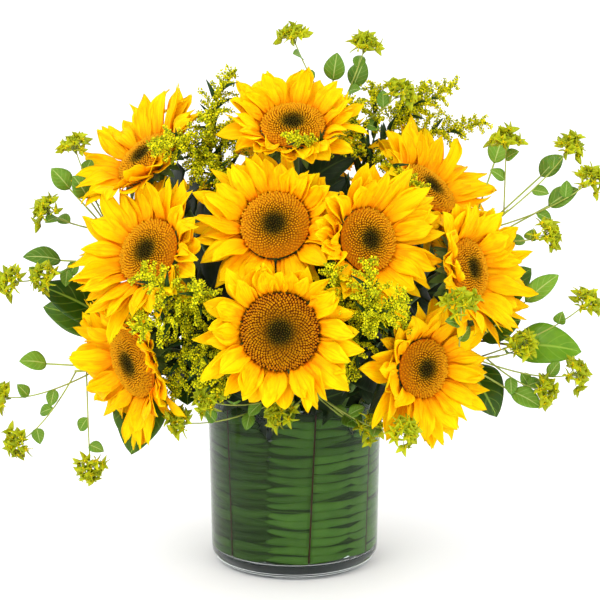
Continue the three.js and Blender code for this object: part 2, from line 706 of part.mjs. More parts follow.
function sprigSolid(sprig) {
  const main = mainStem(sprig);
  if (!main) {
    misplaced.push(sprig.name);
    return null;
  }
  const parts = [main.stem];
  for (const form of ["plumes", "umbels", "leaves"])
    for (const item of sprig[form] ?? []) {
      const start = main.path.getPoint(1 - SPRIG.spacing * parts.length);
      let piece = null;
      for (const nudge of NUDGES) {
        piece = join(FORMS[form](start, item, vec(...nudge)).map(solidOf));
        if (clearOf(piece, placed)) break;
        piece = null;
      }
      if (piece) parts.push(piece);
      else misplaced.push(`${sprig.name} ${form} ${JSON.stringify(item)}`);
    }
  return join(parts);
}

for (const sprig of SPRIGS) {
  const solid = sprigSolid(sprig);
  if (!solid) continue;
  show(sprig.name, geometryOf(solid), MATERIAL[sprig.name.split("_")[0]]);
  placed.push(solid);
  stems.push({ foot: sprig.foot, radius: SPRIG.stem, sides: 4 });
}

show("vase_glass", vaseGeometry(), MATERIAL.glass);
fronds.forEach((frond, n) => show(`fern_frond_${n + 1}`, geometryOf(frond), MATERIAL.fern));
show("water", waterGeometry(stems), MATERIAL.water);

if (misplaced.length) console.error(`left out, for want of room: ${misplaced.join("; ")}`);

export default bouquet;
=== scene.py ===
"""Sunflowers in a vase: a full, domed bunch of sunflowers with goldenrod, bupleurum and
salal in a thick glass cylinder, whose wall is lined inside with sword-fern fronds.

Lengths are millimetres while a piece is made, and metres once it is finished. +Z is up,
the origin is the middle of the vase's foot, and the front of the bunch looks along -Y.
"""

import itertools
import math

import bmesh
import bpy
import numpy as np
from mathutils import Matrix, Quaternion, Vector
from mathutils.geometry import interpolate_bezier
from mathutils.kdtree import KDTree


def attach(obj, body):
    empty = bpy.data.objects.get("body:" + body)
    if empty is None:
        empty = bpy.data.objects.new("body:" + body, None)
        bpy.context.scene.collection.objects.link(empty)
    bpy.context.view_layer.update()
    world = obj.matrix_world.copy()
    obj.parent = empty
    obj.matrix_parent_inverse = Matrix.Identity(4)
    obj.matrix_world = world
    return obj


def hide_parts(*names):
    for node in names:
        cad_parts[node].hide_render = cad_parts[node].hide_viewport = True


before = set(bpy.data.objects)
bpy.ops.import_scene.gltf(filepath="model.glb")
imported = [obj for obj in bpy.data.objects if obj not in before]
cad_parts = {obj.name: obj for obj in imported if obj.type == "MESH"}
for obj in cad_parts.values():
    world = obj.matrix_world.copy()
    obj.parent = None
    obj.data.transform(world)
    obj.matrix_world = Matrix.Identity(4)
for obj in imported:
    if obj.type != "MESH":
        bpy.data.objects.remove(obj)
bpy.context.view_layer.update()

MM = 0.001
UP = Vector((0, 0, 1))
GOLDEN = math.radians(137.508)  # the angle from one floret to the next

# ------------------------------------------------------------------ named dimensions
VASE_HEIGHT = 152
RIM_RADIUS = 76
FOOT_RADIUS = 73.2
WALL = 4
BASE = 12
HEEL = 13  # radius of the outer bottom edge
PUNT = 1.2  # height of the hollow under the foot
FOOT_RING = 6  # width of the flat ring that the vase stands on, inside the heel's curve
FOOT_SLOPE = 4  # from there in to the flat of the hollow
GROUND_UP_TO = 1.6  # the foot is ground, not polished, up to this height
RIPPLE = 0.25  # soft rings round the heel, from the mould
RIPPLE_RATE = 1.9  # radians of ripple for each millimetre of height
CORNER = 5  # radius inside, where wall meets base
WATER_LEVEL = 104
WATER_RADIUS = 63.5
MENISCUS = [(0, 0.2), (1.5, -0.6), (5, -1)]  # in from the edge, and above the level
STEM_FOOT = 12.35  # height at which the stems stand
STRAIGHT_UP_TO = 122  # height up to which every stem stands upright
STEM_POINTS = 26
LEAST_CLIMB = 56  # how far a stem goes on upright from there, at the least
CLIMB = 0.42  # the share of its whole rise from there that it climbs upright

FRONDS = 6
FIRST_RIB = 282  # direction of the first midrib, seen from above, in degrees
FROND_BOTTOM = 16
FROND_TOP = 148
FRONDS_DIFFER = 4  # in height
LEAFLET_PITCH = 8
LEAFLET_THICKNESS = 0.3
OVERLAP = 2.5  # of each frond over the next
RIB_RADIUS = 0.8
# How far a frond is pressed into the wall's face, so that no air shines between them.
FRONT_PRESSED = 0.8  # its front leaflets
BACK_PRESSED = 0.3  # the leaflets behind those, and its rib
# How far each frond's midrib lies from the frond's middle, and how far it sways aside.
RIB_PLACES = [(0, 6), (-14, 3), (4, -3), (0, 4), (-5, 2), (-2, -3)]
# Painted light and shade of each frond's front leaflets, from deep shade to brightly lit.
FROND_SHADING = [0.78, 0.98, 0.5, 0.6, 0.5, 0.26]  # 0 deep and bluish, 1 bright

CAD_PETALS = 18  # of each head in the frame, upper and lower ones in turn
PETAL_SECTOR = 6.5  # degrees either side of a petal's middle that hold its tip
DISC_MARGIN = 1.6  # from the disc's rim out to the petals' roots
LAYER_DROP = 3
PETAL_WIDTH = 15.5
PETAL_THICKNESS = 0.45
PETAL_WIDEST = 0.48  # how far along a petal is at its widest
# Each ring of a crown: its petals, the layer of the frame's crown that it follows, how
# much further it leans, its share of the length, its depth and its first petal's place.
PETAL_RINGS = [
    (14, 0, 0.1, 0.93, 0.6, 0.3), (19, 0, 0.0, 1.03, -0.6, 0.0), (17, 1, -0.04, 1.08, -2.4, 0.6),
]
SHORTEST = 0.78  # share of a head's full petal length that its shortest ones have
# Some heads' petals are shorter than the others'.
PETAL_TRIM = {
    "top": 0.82, "upper_left": 0.95, "upper_right": 0.95, "lower_right": 0.93, "front": 0.96,
}
STEEPEST = 0.5  # a petal leans forward by hardly more than this, in radians
USUAL_PETAL_LENGTH = 39  # for the size of its pleats and folds
USUAL_PETAL_WIDTH = 15.6
STREAK_SHUFFLE = 37  # moves the streaks so far that no two petals have the same ones
FLORET_SPACING = 2.05
HEAD_FLOOR = 0.8  # the disc's underside, in front of the head's origin
RIM_HEIGHT = 3  # of the disc
DOME_HEIGHT = 5.5  # of the disc's middle above its rim, but for the dip in it
DIP_DEPTH = 3.2
DIP_TIGHTNESS = 12
BACK_DEPTH = 13
NECK = 34
STEM_RADIUS = 4.3
STEM_LEAVES = 14
# A stem's leaves keep out of the room round each head, which reaches so far behind it,
# before it and beyond its disc, and they keep above the vase's rim.
HEAD_ROOM = (-12, 50, 32)
ABOVE_RIM = 8
SHORTEST_LEAF = 20

# The ways in which a sprig's stem may lean out: the share that it climbs upright, and how
# far before its fork it is on its last course.
CLIMBS = (0.42, 0.6, 0.25, 0.8)
APPROACHES = (60, 40, 85, 110)
FORK_STEP = 0.03  # share of the stem from one branch down to the next

SPRAY_STEP = 2.4  # along a goldenrod plume, from one side spray to the next
SPRAY_REACH = 17
TWIG_RADIUS = 0.35
BLOSSOM_STEP = 0.42
PLUME_LEAVES = 9
GOLDENROD_LEAVES = 16  # on the main stem

UMBEL_RAYS = 14
UMBEL_RADIUS = 11
BRACTS = 5  # in each star
BRACT_LENGTH = 8.6
STAR_BLOSSOMS = 7

# Each bloom: middle of its disc, turn to the right of the front and tilt above level in
# degrees, disc radius, petals' reach, where its stem stands, how far its disc has opened.
BLOOMS = {
    "front": ((-11, -150, 237), -1, 7, 31, 68, (-4, -54), 1.0),
    "centre": ((-15, -108, 315), -8, 28, 28, 67, (-5, -39), 0.35),
    "top": ((-1, -68, 390), -3, 55, 26, 66, (0, -23), 0.2),
    "right_centre": ((58, -112, 304), 34, 15, 26, 68, (17, -42), 0.1),
    "lower_right": ((104, -112, 198), 34, 5, 24, 69, (36, -38), 0.45),
    "right": ((142, -80, 274), 54, 15, 25, 68, (45, -20), 0.2),
    "upper_right": ((112, -31, 332), 58, 46, 26, 69, (28, -12), 0.2),
    "left": ((-117, -98, 291), -37, 28, 28, 70, (-28, -36), 0.3),
    "lower_left": ((-132, -84, 197), -52, -10, 30, 69, (-47, -25), 0.4),
    "upper_left": ((-124, -35, 359), -56, 46, 26, 70, (-30, -14), 0.2),
    "back_left": ((-98, 84, 272), -138, 22, 27, 66, (-34, 34), 0.6),
    "back_right": ((104, 78, 276), 132, 22, 27, 66, (34, 34), 0.2),
    "back_top": ((4, 74, 352), 178, 44, 27, 66, (2, 26), 0.4),
}

# Each sprig: where its stem stands, where it forks, and what it bears. A plume is a line
# of points, an umbel the middle of its stars, a leaf its root, its tip and its width.
GOLDENROD = {
    "goldenrod_1": ((-17, -3), (-70, -32, 352), [
        ((-71, -33, 366), (-67, -35, 405), (-50, -30, 434)),
        ((-72, -36, 358), (-78, -64, 366), (-88, -92, 354)),
        ((-70, -40, 368), (-68, -56, 388), (-74, -66, 398)),
        ((-66, -38, 350), (-62, -62, 352), (-60, -86, 346)),
        ((-62, -30, 366), (-52, -42, 378), (-44, -58, 380)),
        ((-72, -36, 358), (-80, -60, 360), (-88, -88, 352)),
    ]),
    "goldenrod_2": ((-17, -50), (-70, -104, 238), [
        ((-74, -110, 246), (-88, -134, 262), (-103, -146, 276)),
        ((-72, -112, 244), (-72, -136, 258), (-70, -150, 274)),
        ((-76, -106, 240), (-96, -124, 240), (-114, -136, 234)),
        ((-70, -108, 230), (-72, -132, 214), (-76, -144, 188)),
        ((-66, -110, 226), (-60, -134, 204), (-56, -146, 180)),
        ((-80, -100, 226), (-94, -116, 196), (-100, -122, 162)),
    ]),
    "goldenrod_3": ((28, -50), (52, -104, 228), [
        ((56, -134, 236), (62, -160, 256), (62, -162, 286)),
        ((58, -134, 238), (74, -158, 250), (94, -158, 264)),
        ((50, -114, 236), (48, -138, 244), (38, -158, 264)),
        ((52, -112, 222), (48, -134, 214), (38, -138, 190)),
        ((58, -108, 234), (80, -134, 236), (90, -150, 244)),
        ((46, -108, 240), (32, -132, 262), (26, -146, 282)),
    ]),
    "goldenrod_4": ((14, -4), (66, -16, 358), [
        ((60, -24, 374), (48, -30, 390), (47, -32, 410)),
        ((68, -16, 378), (68, -12, 398), (66, -10, 422)),
        ((80, 0, 378), (100, 8, 400), (113, 4, 418)),
        ((84, 12, 380), (112, 12, 402), (138, 0, 420)),
        ((88, 18, 370), (130, 32, 378), (166, 16, 392)),
        ((58, -30, 362), (44, -50, 368), (36, -66, 374)),
        ((64, -34, 358), (62, -56, 362), (58, -70, 370)),
    ]),
}
SALAL = {
    "salal_1": ((-56, 14), (-122, -22, 196), [
        ((-104, -50, 168), (-138, -84, 112), 44),
        ((-152, -30, 224), (-208, -62, 262), 36),
        ((-150, -22, 204), (-214, -28, 206), 38),
        ((-140, -8, 216), (-176, 34, 236), 40),
        ((-104, -56, 190), (-82, -86, 156), 36),
    ]),
    "salal_2": ((56, 14), (150, -36, 206), [
        ((168, -46, 208), (226, -62, 204), 38),
        ((152, -52, 192), (170, -80, 148), 38),
        ((162, -26, 222), (204, -10, 262), 36),
        ((150, -14, 212), (176, 34, 226), 40),
        ((156, -42, 210), (200, -54, 224), 36),
    ]),
    "salal_3": ((0, 56), (0, 112, 216), [
        ((-4, 114, 218), (-46, 140, 236), 40),
        ((4, 114, 218), (46, 140, 232), 40),
        ((0, 118, 212), (2, 152, 176), 42),
        ((0, 114, 224), (-4, 130, 270), 38),
    ]),
}
BUPLEURUM = {
    "bupleurum_1": ((-53, -8), (-178, -30, 306),
        [(-210, -40, 318), (-209, -75, 266), (-237, -76, 264), (-186, -18, 372)],
        [((-180, -30, 312), (-186, -20, 346)), ((-184, -40, 296), (-226, -66, 282)),
         ((-190, -24, 318), (-206, -20, 350))]),
    "bupleurum_2": ((-42, 4), (-196, -34, 176),
        [(-236, -68, 122), (-172, -80, 102), (-250, -56, 160)],
        [((-204, -42, 176), (-232, -62, 192)), ((-200, -46, 164), (-150, -74, 122))]),
    "bupleurum_3": ((54, 0), (186, -22, 318),
        [(178, -24, 378), (234, -22, 370), (250, -40, 344), (214, -52, 300)],
        [((184, -6, 340), (180, 14, 374)), ((202, -16, 336), (230, 2, 358)),
         ((196, -34, 328), (240, -30, 334))]),
    "bupleurum_4": ((49, -32), (176, -74, 200),
        [(190, -94, 214), (210, -82, 172), (236, -80, 186), (246, -70, 246)],
        [((184, -76, 194), (206, -86, 158)), ((190, -60, 222), (224, -40, 262))]),
    "bupleurum_5": ((2, -2), (36, -14, 404),
        [(-2, -24, 464), (60, -22, 456), (90, -24, 410)],
        [((38, -14, 412), (36, -22, 448)), ((46, -6, 408), (60, 10, 438))]),
    "bupleurum_6": ((10, -58), (12, -94, 170),
        [(-13, -122, 163), (-71, -138, 178), (-96, -112, 153), (64, -106, 138), (90, -162, 156)],
        [((30, -98, 164), (56, -106, 146))]),
}
# A part that found no room there is nudged forward or back, and then aside as well.
NUDGES = [
    (aside, back, up)
    for aside, up in ((0, 0), (0, 8), (0, -8), (8, 0), (-8, 0))
    for back in (0, -8, 8, -16, 16, -24)
]
# Plumes whose tips bow further than in the frame, forward or aside, over the petals.
BOWED = {
    ("goldenrod_2", 0): (-18, -26, 18), ("goldenrod_2", 1): (-8, -14, 4),
    ("goldenrod_2", 2): (-14, -28, 6), ("goldenrod_3", 0): (-4, 3, 12),
    ("goldenrod_3", 1): (-6, 0, 8), ("goldenrod_3", 2): (-14, 0, 6),
    ("goldenrod_3", 5): (6, -12, 8), ("goldenrod_4", 5): (-45, -58, 17),
    ("goldenrod_4", 6): (52, -12, -29), ("goldenrod_1", 1): (-27, -18, 24),
}
# Plumes whose side sprays are shorter or longer than the others'.
SPRAY_SHARE = {
    ("goldenrod_4", 5): 0.55, ("goldenrod_4", 6): 0.55,
    ("goldenrod_2", 0): 1.3, ("goldenrod_2", 2): 1.2,
}
# Umbels that hang before a head, besides those of the frame.
HANGING = {"bupleurum_4": [(133, -152, 263)]}
# This leaf is painted as lit; the other salal leaves are darkened with painted shade.
BRIGHT_LEAF = ("salal_2", 0)  # the brightest of the salal leaves
# Leaves that lie a little away from where they are listed.
LEAF_SHIFTS = {
    BRIGHT_LEAF: (16, 0, -4), ("salal_1", 1): (-8, 0, -8), ("salal_1", 2): (-2, 0, 24),
}
LEAF_FACING = Vector((0, -0.8, 0.6))  # leaves turn their faces forward and up


# ------------------------------------------------------------------ small tools
def scatter(seed, index):
    """A fixed scatter from -1 to 1, the same in every run."""
    wave = math.sin(seed * 12.9898 + index * 78.233 + 4.1) * 43758.5453
    return 2 * (wave - math.floor(wave)) - 1


def point_at(line, share):
    """The point that lies a share of the way along a line of points, and the way on."""
    steps = [(there - here).length for here, there in zip(line, line[1:])]
    left = max(0.0, min(1.0, share)) * sum(steps)
    for here, there, step in zip(line, line[1:], steps):
        if left <= step or there is line[-1]:
            spot = here.lerp(there, min(1.0, left / max(step, 1e-6)))
            return spot, (there - here).normalized()
        left -= step
    return line[-1], (line[-1] - line[-2]).normalized()


def smooth_line(points, count):
    """An even curve through a few points."""
    ends = [2 * points[0] - points[1], *points, 2 * points[-1] - points[-2]]
    line = []
    for before, here, there, after in zip(ends, ends[1:], ends[2:], ends[3:]):
        leaving, arriving = here + (there - before) / 6, there - (after - here) / 6
        line += interpolate_bezier(here, leaving, arriving, there, 9)[:-1]
    line.append(points[-1])
    return [point_at(line, k / count)[0] for k in range(count + 1)]


def length_of(line):
    return sum((there - here).length for here, there in zip(line, line[1:]))


def stem_line(foot, behind, end, climb=CLIMB):
    """A stem stands upright in the vase, then leans out and arrives through behind."""
    shoulder = Vector((*foot, STRAIGHT_UP_TO))
    rise = max(LEAST_CLIMB, climb * (end.z - STRAIGHT_UP_TO))
    bend = interpolate_bezier(shoulder, shoulder + UP * rise, behind, end, STEM_POINTS)
    return [Vector((*foot, STEM_FOOT)), *bend]


def placing_of(across, forward, face, place):
    """A placing whose X, Y and Z run across, forward and out of the face."""
    turn = Matrix((across, forward, face)).transposed()
    return Matrix.Translation(place) @ turn.to_4x4()


def beside(way, turned_by=None):
    """A level direction at right angles to a way, or one that is turned about it."""
    side = way.cross(UP)
    side = side.normalized() if side.length > 0.05 else Vector((1, 0, 0))
    return side if turned_by is None else Quaternion(way, turned_by) @ side


# ------------------------------------------------------------------ shaping meshes
# Each corner carries how far along and across its petal, leaf or floret it lies, and a
# tint that is the same all over one copy, for the materials to read.
LAYERS = ("along", "across", "tint")
SAME_PLACE = 0.02  # corners closer than this are one


def fresh():
    """An empty mesh in the making, with its layers."""
    body = bmesh.new()
    for layer in LAYERS:
        body.verts.layers.float.new(layer)
    return body


def mark(body, along=None, across=None, tint=None):
    """Writes layers of a part: each a number, or a formula of the corner's place."""
    layers = body.verts.layers.float
    for corner in body.verts:
        for layer, value in (("along", along), ("across", across), ("tint", tint)):
            if value is not None:
                corner[layers[layer]] = value(corner.co) if callable(value) else value
    return body


def blade(rows, columns, place, thick, tint=0.0):
    """A thin blade: a grid whose corners go where place(along, across) says."""
    body = fresh()
    bmesh.ops.create_grid(body, x_segments=rows, y_segments=columns, size=1)
    mark(body, along=lambda p: (p.x + 1) / 2, across=lambda p: p.y, tint=tint)
    for corner in body.verts:
        corner.co = place((corner.co.x + 1) / 2, corner.co.y)
    bmesh.ops.remove_doubles(body, verts=body.verts, dist=SAME_PLACE)
    bmesh.ops.recalc_face_normals(body, faces=body.faces)
    body.normal_update()
    grown = bmesh.ops.extrude_face_region(body, geom=body.faces[:], use_keep_orig=True)["geom"]
    for part in grown:
        if isinstance(part, bmesh.types.BMVert):
            part.co -= part.normal * thick
    bmesh.ops.recalc_face_normals(body, faces=body.faces)
    return body


def tube(line, radius, sides, tint=0.0):
    """A closed tube, made by pushing its end face along a line of points. The radius
    is a number, or a formula of how far along the tube it is."""
    body = fresh()
    made = bmesh.ops.create_circle(body, cap_ends=True, segments=sides, radius=1)
    ring, face = made["verts"], body.faces[:]
    heading = (line[1] - line[0]).normalized()
    turn = UP.rotation_difference(heading)
    last = Matrix.Identity(4)
    along = body.verts.layers.float["along"]
    for step, spot in enumerate(line):
        share = step / (len(line) - 1)
        if step:
            grown = bmesh.ops.extrude_face_region(body, geom=face)["geom"]
            ring = [part for part in grown if isinstance(part, bmesh.types.BMVert)]
            face = [part for part in grown if isinstance(part, bmesh.types.BMFace)]
            ahead = (line[min(step + 1, len(line) - 1)] - line[step - 1]).normalized()
            turn = heading.rotation_difference(ahead) @ turn
            heading = ahead
        size = radius(share) if callable(radius) else radius
        placing = Matrix.Translation(spot) @ turn.to_matrix().to_4x4() @ Matrix.Scale(size, 4)
        bmesh.ops.transform(body, matrix=placing @ last.inverted(), verts=ring)
        for corner in ring:
            corner[along] = share
        last = placing
    bmesh.ops.recalc_face_normals(body, faces=body.faces)
    return mark(body, tint=tint)


def turned(profile, steps):
    """A closed body turned on the upright axis from a profile that ends on it."""
    body = fresh()
    corners = [body.verts.new((radius, 0, z)) for radius, z in profile]
    edges = [body.edges.new(pair) for pair in zip(corners, corners[1:])]
    bmesh.ops.spin(
        body, geom=corners + edges, cent=(0, 0, 0), axis=(0, 0, 1),
        angle=2 * math.pi, steps=steps, use_merge=True,
    )
    bmesh.ops.remove_doubles(body, verts=body.verts, dist=SAME_PLACE)
    bmesh.ops.recalc_face_normals(body, faces=body.faces)
    return body


def arc(middle, z, radius, start, stop, steps):
    """Points of a profile on an arc, with angles in degrees from straight out."""
    angles = [math.radians(start + (stop - start) * k / steps) for k in range(steps + 1)]
    return [(middle + radius * math.cos(turn), z + radius * math.sin(turn)) for turn in angles]


class Piece:
    """One piece in the making, which stands for nodes of the frame."""

    def __init__(self, name, slot, nodes, finishes):
        self.name, self.slot, self.nodes, self.finishes = name, slot, nodes, finishes
        self.body = fresh()
        self.part = bpy.data.meshes.new(name + "_part")

    def paint(self, body, finish):
        """Gives a part one of the piece's finishes."""
        for face in body.faces:
            face.material_index = self.finishes.index(finish)
            face.smooth = True

    def add(self, body, finish):
        """Takes in a part, in one of the piece's finishes."""
        self.paint(body, finish)
        body.to_mesh(self.part)
        self.body.from_mesh(self.part)
        body.free()

    def pattern(self, body, finish):
        """A small part that is kept, so that copies of it can be set down."""
        self.paint(body, finish)
        mesh = bpy.data.meshes.new(self.name + "_pattern")
        body.to_mesh(mesh)
        body.free()
        places = np.empty(3 * len(mesh.vertices), np.float32)
        mesh.vertices.foreach_get("co", places)
        return mesh, places.reshape(-1, 3)

    def set_down(self, pattern, placing, tint, across=None):
        """Adds a copy of a pattern, with its own tint."""
        mesh, places = pattern
        turn = np.array(placing.to_3x3()).T
        moved = places @ turn + np.array(placing.translation)
        mesh.vertices.foreach_set("co", moved.astype(np.float32).ravel())
        count = len(places)
        mesh.attributes["tint"].data.foreach_set("value", [tint] * count)
        if across is not None:
            mesh.attributes["across"].data.foreach_set("value", [across] * count)
        self.body.from_mesh(mesh)

    def finish(self):
        """Makes the piece, in metres, and hides the frame's parts that it stands for."""
        mesh = bpy.data.meshes.new(self.name)
        self.body.to_mesh(mesh)
        self.body.free()
        mesh.transform(Matrix.Scale(MM, 4))
        for finish in self.finishes:
            mesh.materials.append(finish)
        made = bpy.data.objects.new(self.name, mesh)
        bpy.context.scene.collection.objects.link(made)
        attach(made, "root")
        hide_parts(*self.nodes)
        return made


# ------------------------------------------------------------------ materials
# How a mix node mixes two colours, or multiplies them, and its sockets for the two.
MIXED = {"out": 2, "data_type": "RGBA"}
MULTIPLIED = {**MIXED, "blend_type": "MULTIPLY"}
FIRST, SECOND = 6, 7


def linear(code):
    """An sRGB hex colour as linear red, green, blue and alpha."""
    channels = [int(code[k : k + 2], 16) / 255 for k in (1, 3, 5)]
    curve = [c / 12.92 if c <= 0.04045 else ((c + 0.055) / 1.055) ** 2.4 for c in channels]
    return (*curve, 1.0)


def add_node(tree, kind, inputs, out=0, stops=(), **settings):
    """Adds a node with its settings, its inputs and a ramp's stops, and gives one of its
    outputs. An input is a value, a hex colour, another node's output or a layer's name."""
    made = tree.nodes.new("ShaderNode" + kind)
    for name, value in settings.items():
        setattr(made, name, value)
    for name, value in inputs.items():
        if value in LAYERS:
            value = add_node(tree, "Attribute", {}, "Fac", attribute_name=value)
        if isinstance(value, bpy.types.NodeSocket):
            tree.links.new(value, made.inputs[name])
        else:
            made.inputs[name].default_value = linear(value) if isinstance(value, str) else value
    if stops:
        elements = made.color_ramp.elements
        while len(elements) < len(stops):
            elements.new(1.0)
        for element, (place, colour) in zip(elements, stops):
            element.position, element.color = place, linear(colour)
    return made.outputs[out]


def new_material(name, **values):
    """A material whose shader has these uniform values."""
    material = bpy.data.materials.new(name)
    material.use_nodes = True
    shader = material.node_tree.nodes["Principled BSDF"]
    for socket, value in values.items():
        socket = socket.replace("_", " ")
        shader.inputs[socket].default_value = linear(value) if isinstance(value, str) else value
    return material, material.node_tree, shader


def streaks(tree, long_mm, wide_mm, detail):
    """A noise drawn out along a petal, different on each one, with streaks of a real
    size on a petal of the usual length and width."""
    places = {}
    for axis, layer, scale in (
        ("X", "along", USUAL_PETAL_LENGTH / long_mm),
        ("Y", "across", USUAL_PETAL_WIDTH / 2 / wide_mm),
        ("Z", "tint", STREAK_SHUFFLE),
    ):
        places[axis] = add_node(tree, "Math", {0: layer, 1: scale}, operation="MULTIPLY")
    place = add_node(tree, "CombineXYZ", places)
    return add_node(tree, "TexNoise", {"Vector": place, "Scale": 1.0, "Detail": detail})


def mottle(tree, size_mm):
    """A noise in the material itself, with spots of a real size."""
    place = add_node(tree, "TexCoord", {}, "Object")
    return add_node(
        tree, "TexNoise", {"Vector": place, "Scale": 1 / (size_mm * MM), "Detail": 3.0}
    )


def petal_material():
    """Sunflower ray petals: thin, waxy and slightly see-through, so they glow golden
    yellow, turn orange towards their roots and have fine pleats along them. The orange at
    the roots is partly their own colour and partly painted shade, and the hollows of
    the pleats and folds are darkened with painted shade."""
    material, tree, shader = new_material(
        "sunflower_petal", Roughness=0.6, Specular_IOR_Level=0.04,
        Subsurface_Weight=0.3, Subsurface_Scale=0.002, Subsurface_Radius=(1.0, 0.6, 0.1),
    )
    # Orange towards the root: partly the petals' own colour, partly painted shade where they crowd
    # round the disc.
    colour = add_node(tree, "ValToRGB", {"Fac": "along"}, stops=[
        (0.0, "#e07c00"), (0.18, "#ffaa00"), (0.45, "#ffcc00"), (1.0, "#ffda06"),
    ])
    pleats = streaks(tree, long_mm=32.5, wide_mm=1.2, detail=4.0)
    folds = streaks(tree, long_mm=15, wide_mm=6, detail=2.0)
    # Painted shade: the colour is darkened in the hollows of the pleats and folds, the low parts
    # of the same noises that give the bumps.
    for pattern, hollow, shade in ((pleats, 0.3, "#f0b040"), (folds, 0.36, "#fac044")):
        stops = [(hollow, shade), (0.5, "#ffffff")]
        shades = add_node(tree, "ValToRGB", {"Fac": pattern}, stops=stops)
        colours = {"Factor": 0.6, FIRST: colour, SECOND: shades}
        colour = add_node(tree, "Mix", colours, **MULTIPLIED)
    warmth = add_node(tree, "Math", {0: "tint", 1: 0.4}, operation="MULTIPLY")
    colour = add_node(tree, "Mix", {"Factor": warmth, FIRST: colour, SECOND: "#ffb600"}, **MIXED)
    height = add_node(tree, "Mix", {"Factor": 0.5, "A": pleats, "B": folds})
    bump = add_node(tree, "Bump", {"Height": height, "Distance": 1.0 * MM, "Strength": 0.8})
    tree.links.new(colour, shader.inputs["Base Color"])
    tree.links.new(bump, shader.inputs["Normal"])
    return material


def disc_material(name, ring_shades, rim_tips):
    """Disc florets: tight green-grey buds in the middle, then rings of tiny tubes with
    yellow tips on brown, the brown partly their own colour and partly painted shade
    between them. The shades of the rings are listed from the buds outwards."""
    material, tree, shader = new_material(name, Roughness=0.75, Specular_IOR_Level=0.08)
    ground = add_node(tree, "ValToRGB", {"Fac": "across"}, stops=[
        (0.0, "#1e1802"), (0.24, "#302a04"), *zip((0.42, 0.78, 1.0), ring_shades),
    ])
    tips = add_node(tree, "ValToRGB", {"Fac": "across"}, stops=[
        (0.0, "#383408"), (0.22, "#54480a"), (0.34, "#94740c"), (0.46, "#e09c0a"),
        (0.74, "#ffb810"), (1.0, rim_tips),
    ])
    # The florets darken towards their roots and onto the ground between them: partly their own
    # brown, partly painted shade where they crowd together.
    height = add_node(tree, "Math", {0: "along", 1: 1.6}, operation="POWER")
    colour = add_node(tree, "Mix", {"Factor": height, FIRST: ground, SECOND: tips}, **MIXED)
    colour = add_node(tree, "Mix", {"Factor": "tint", FIRST: colour, SECOND: "#6a3c08"}, **MIXED)
    tree.links.new(colour, shader.inputs["Base Color"])
    return material


def green_material(name, low, high, size_mm, rough, sheen=0.0):
    """A green stem or stalk: paler and darker in soft patches, with a fine grain."""
    material, tree, shader = new_material(
        name, Roughness=rough, Specular_IOR_Level=0.2, Sheen_Weight=sheen,
    )
    spots = mottle(tree, size_mm)
    colour = add_node(tree, "Mix", {"Factor": spots, FIRST: low, SECOND: high}, **MIXED)
    bump = add_node(tree, "Bump", {"Height": spots, "Distance": 0.2 * MM, "Strength": 0.5})
    tree.links.new(colour, shader.inputs["Base Color"])
    tree.links.new(bump, shader.inputs["Normal"])
    return material


def leaf_material(name, dark, light, vein, rough, veins=7.0, coat=0.0, tone_and_shade="#b0bcb0"):
    """A leaf: a paler midrib, side veins that slant to the tip, and soft patches. Some
    leaves are darker than others, by as much as the colour for tone and shade says: a
    random tone on most plants, and painted shade on the fern's leaflets and on all
    salal leaves but the brightest."""
    material, tree, shader = new_material(
        name, Roughness=rough, Specular_IOR_Level=0.2, Coat_Weight=coat,
        Subsurface_Weight=0.06, Subsurface_Scale=0.003,
    )
    aside = add_node(tree, "Math", {0: "across"}, operation="ABSOLUTE")
    slant = add_node(tree, "Math", {0: aside, 1: -0.3, 2: "along"}, operation="MULTIPLY_ADD")
    turns = add_node(tree, "Math", {0: slant, 1: veins * math.tau}, operation="MULTIPLY")
    ridges = add_node(tree, "Math", {0: turns}, operation="COSINE")
    side = add_node(
        tree, "MapRange", {"Value": ridges, "From Min": 0.86, "From Max": 1.0, "To Max": 0.22}
    )
    midrib = add_node(tree, "MapRange", {
        "Value": aside, "From Min": 0.02, "From Max": 0.08, "To Min": 0.75, "To Max": 0.0,
    })
    lines = add_node(tree, "Math", {0: side, 1: midrib}, operation="MAXIMUM")
    colours = {"Factor": mottle(tree, 9), FIRST: dark, SECOND: light}
    patches = add_node(tree, "Mix", colours, **MIXED)
    # Darkened by the colour for tone and shade, as far as the tint says: painted shade on the fern
    # and salal, a random tone on the other plants.
    deep_and_shaded = add_node(tree, "Mix", {"Factor": 1.0, FIRST: patches, SECOND: tone_and_shade}, **MULTIPLIED)
    toned_and_shaded = add_node(tree, "Mix", {"Factor": "tint", FIRST: deep_and_shaded, SECOND: patches}, **MIXED)
    colour = add_node(tree, "Mix", {"Factor": lines, FIRST: toned_and_shaded, SECOND: vein}, **MIXED)
    bump = add_node(tree, "Bump", {"Height": lines, "Distance": 0.35 * MM, "Strength": 0.5})
    tree.links.new(colour, shader.inputs["Base Color"])
    tree.links.new(bump, shader.inputs["Normal"])
    return material


def floret_material(name, dark, light):
    """Tiny blossoms: each copy has its own mix of two colours."""
    material, tree, shader = new_material(name, Roughness=0.7, Specular_IOR_Level=0.08)
    colour = add_node(tree, "Mix", {"Factor": "tint", FIRST: dark, SECOND: light}, **MIXED)
    tree.links.new(colour, shader.inputs["Base Color"])
    return material


def glass_material():
    """Clear soda-lime glass: colourless face on, grey-green and bright at its edges.
    Its index is low for glass, since the real one is seen against few bright things."""
    return new_material(
        "soda_lime_glass", Base_Color="#f4f9f7", Roughness=0.0, IOR=1.38,
        Transmission_Weight=1.0, Specular_Tint="#8c9490",
    )[0]


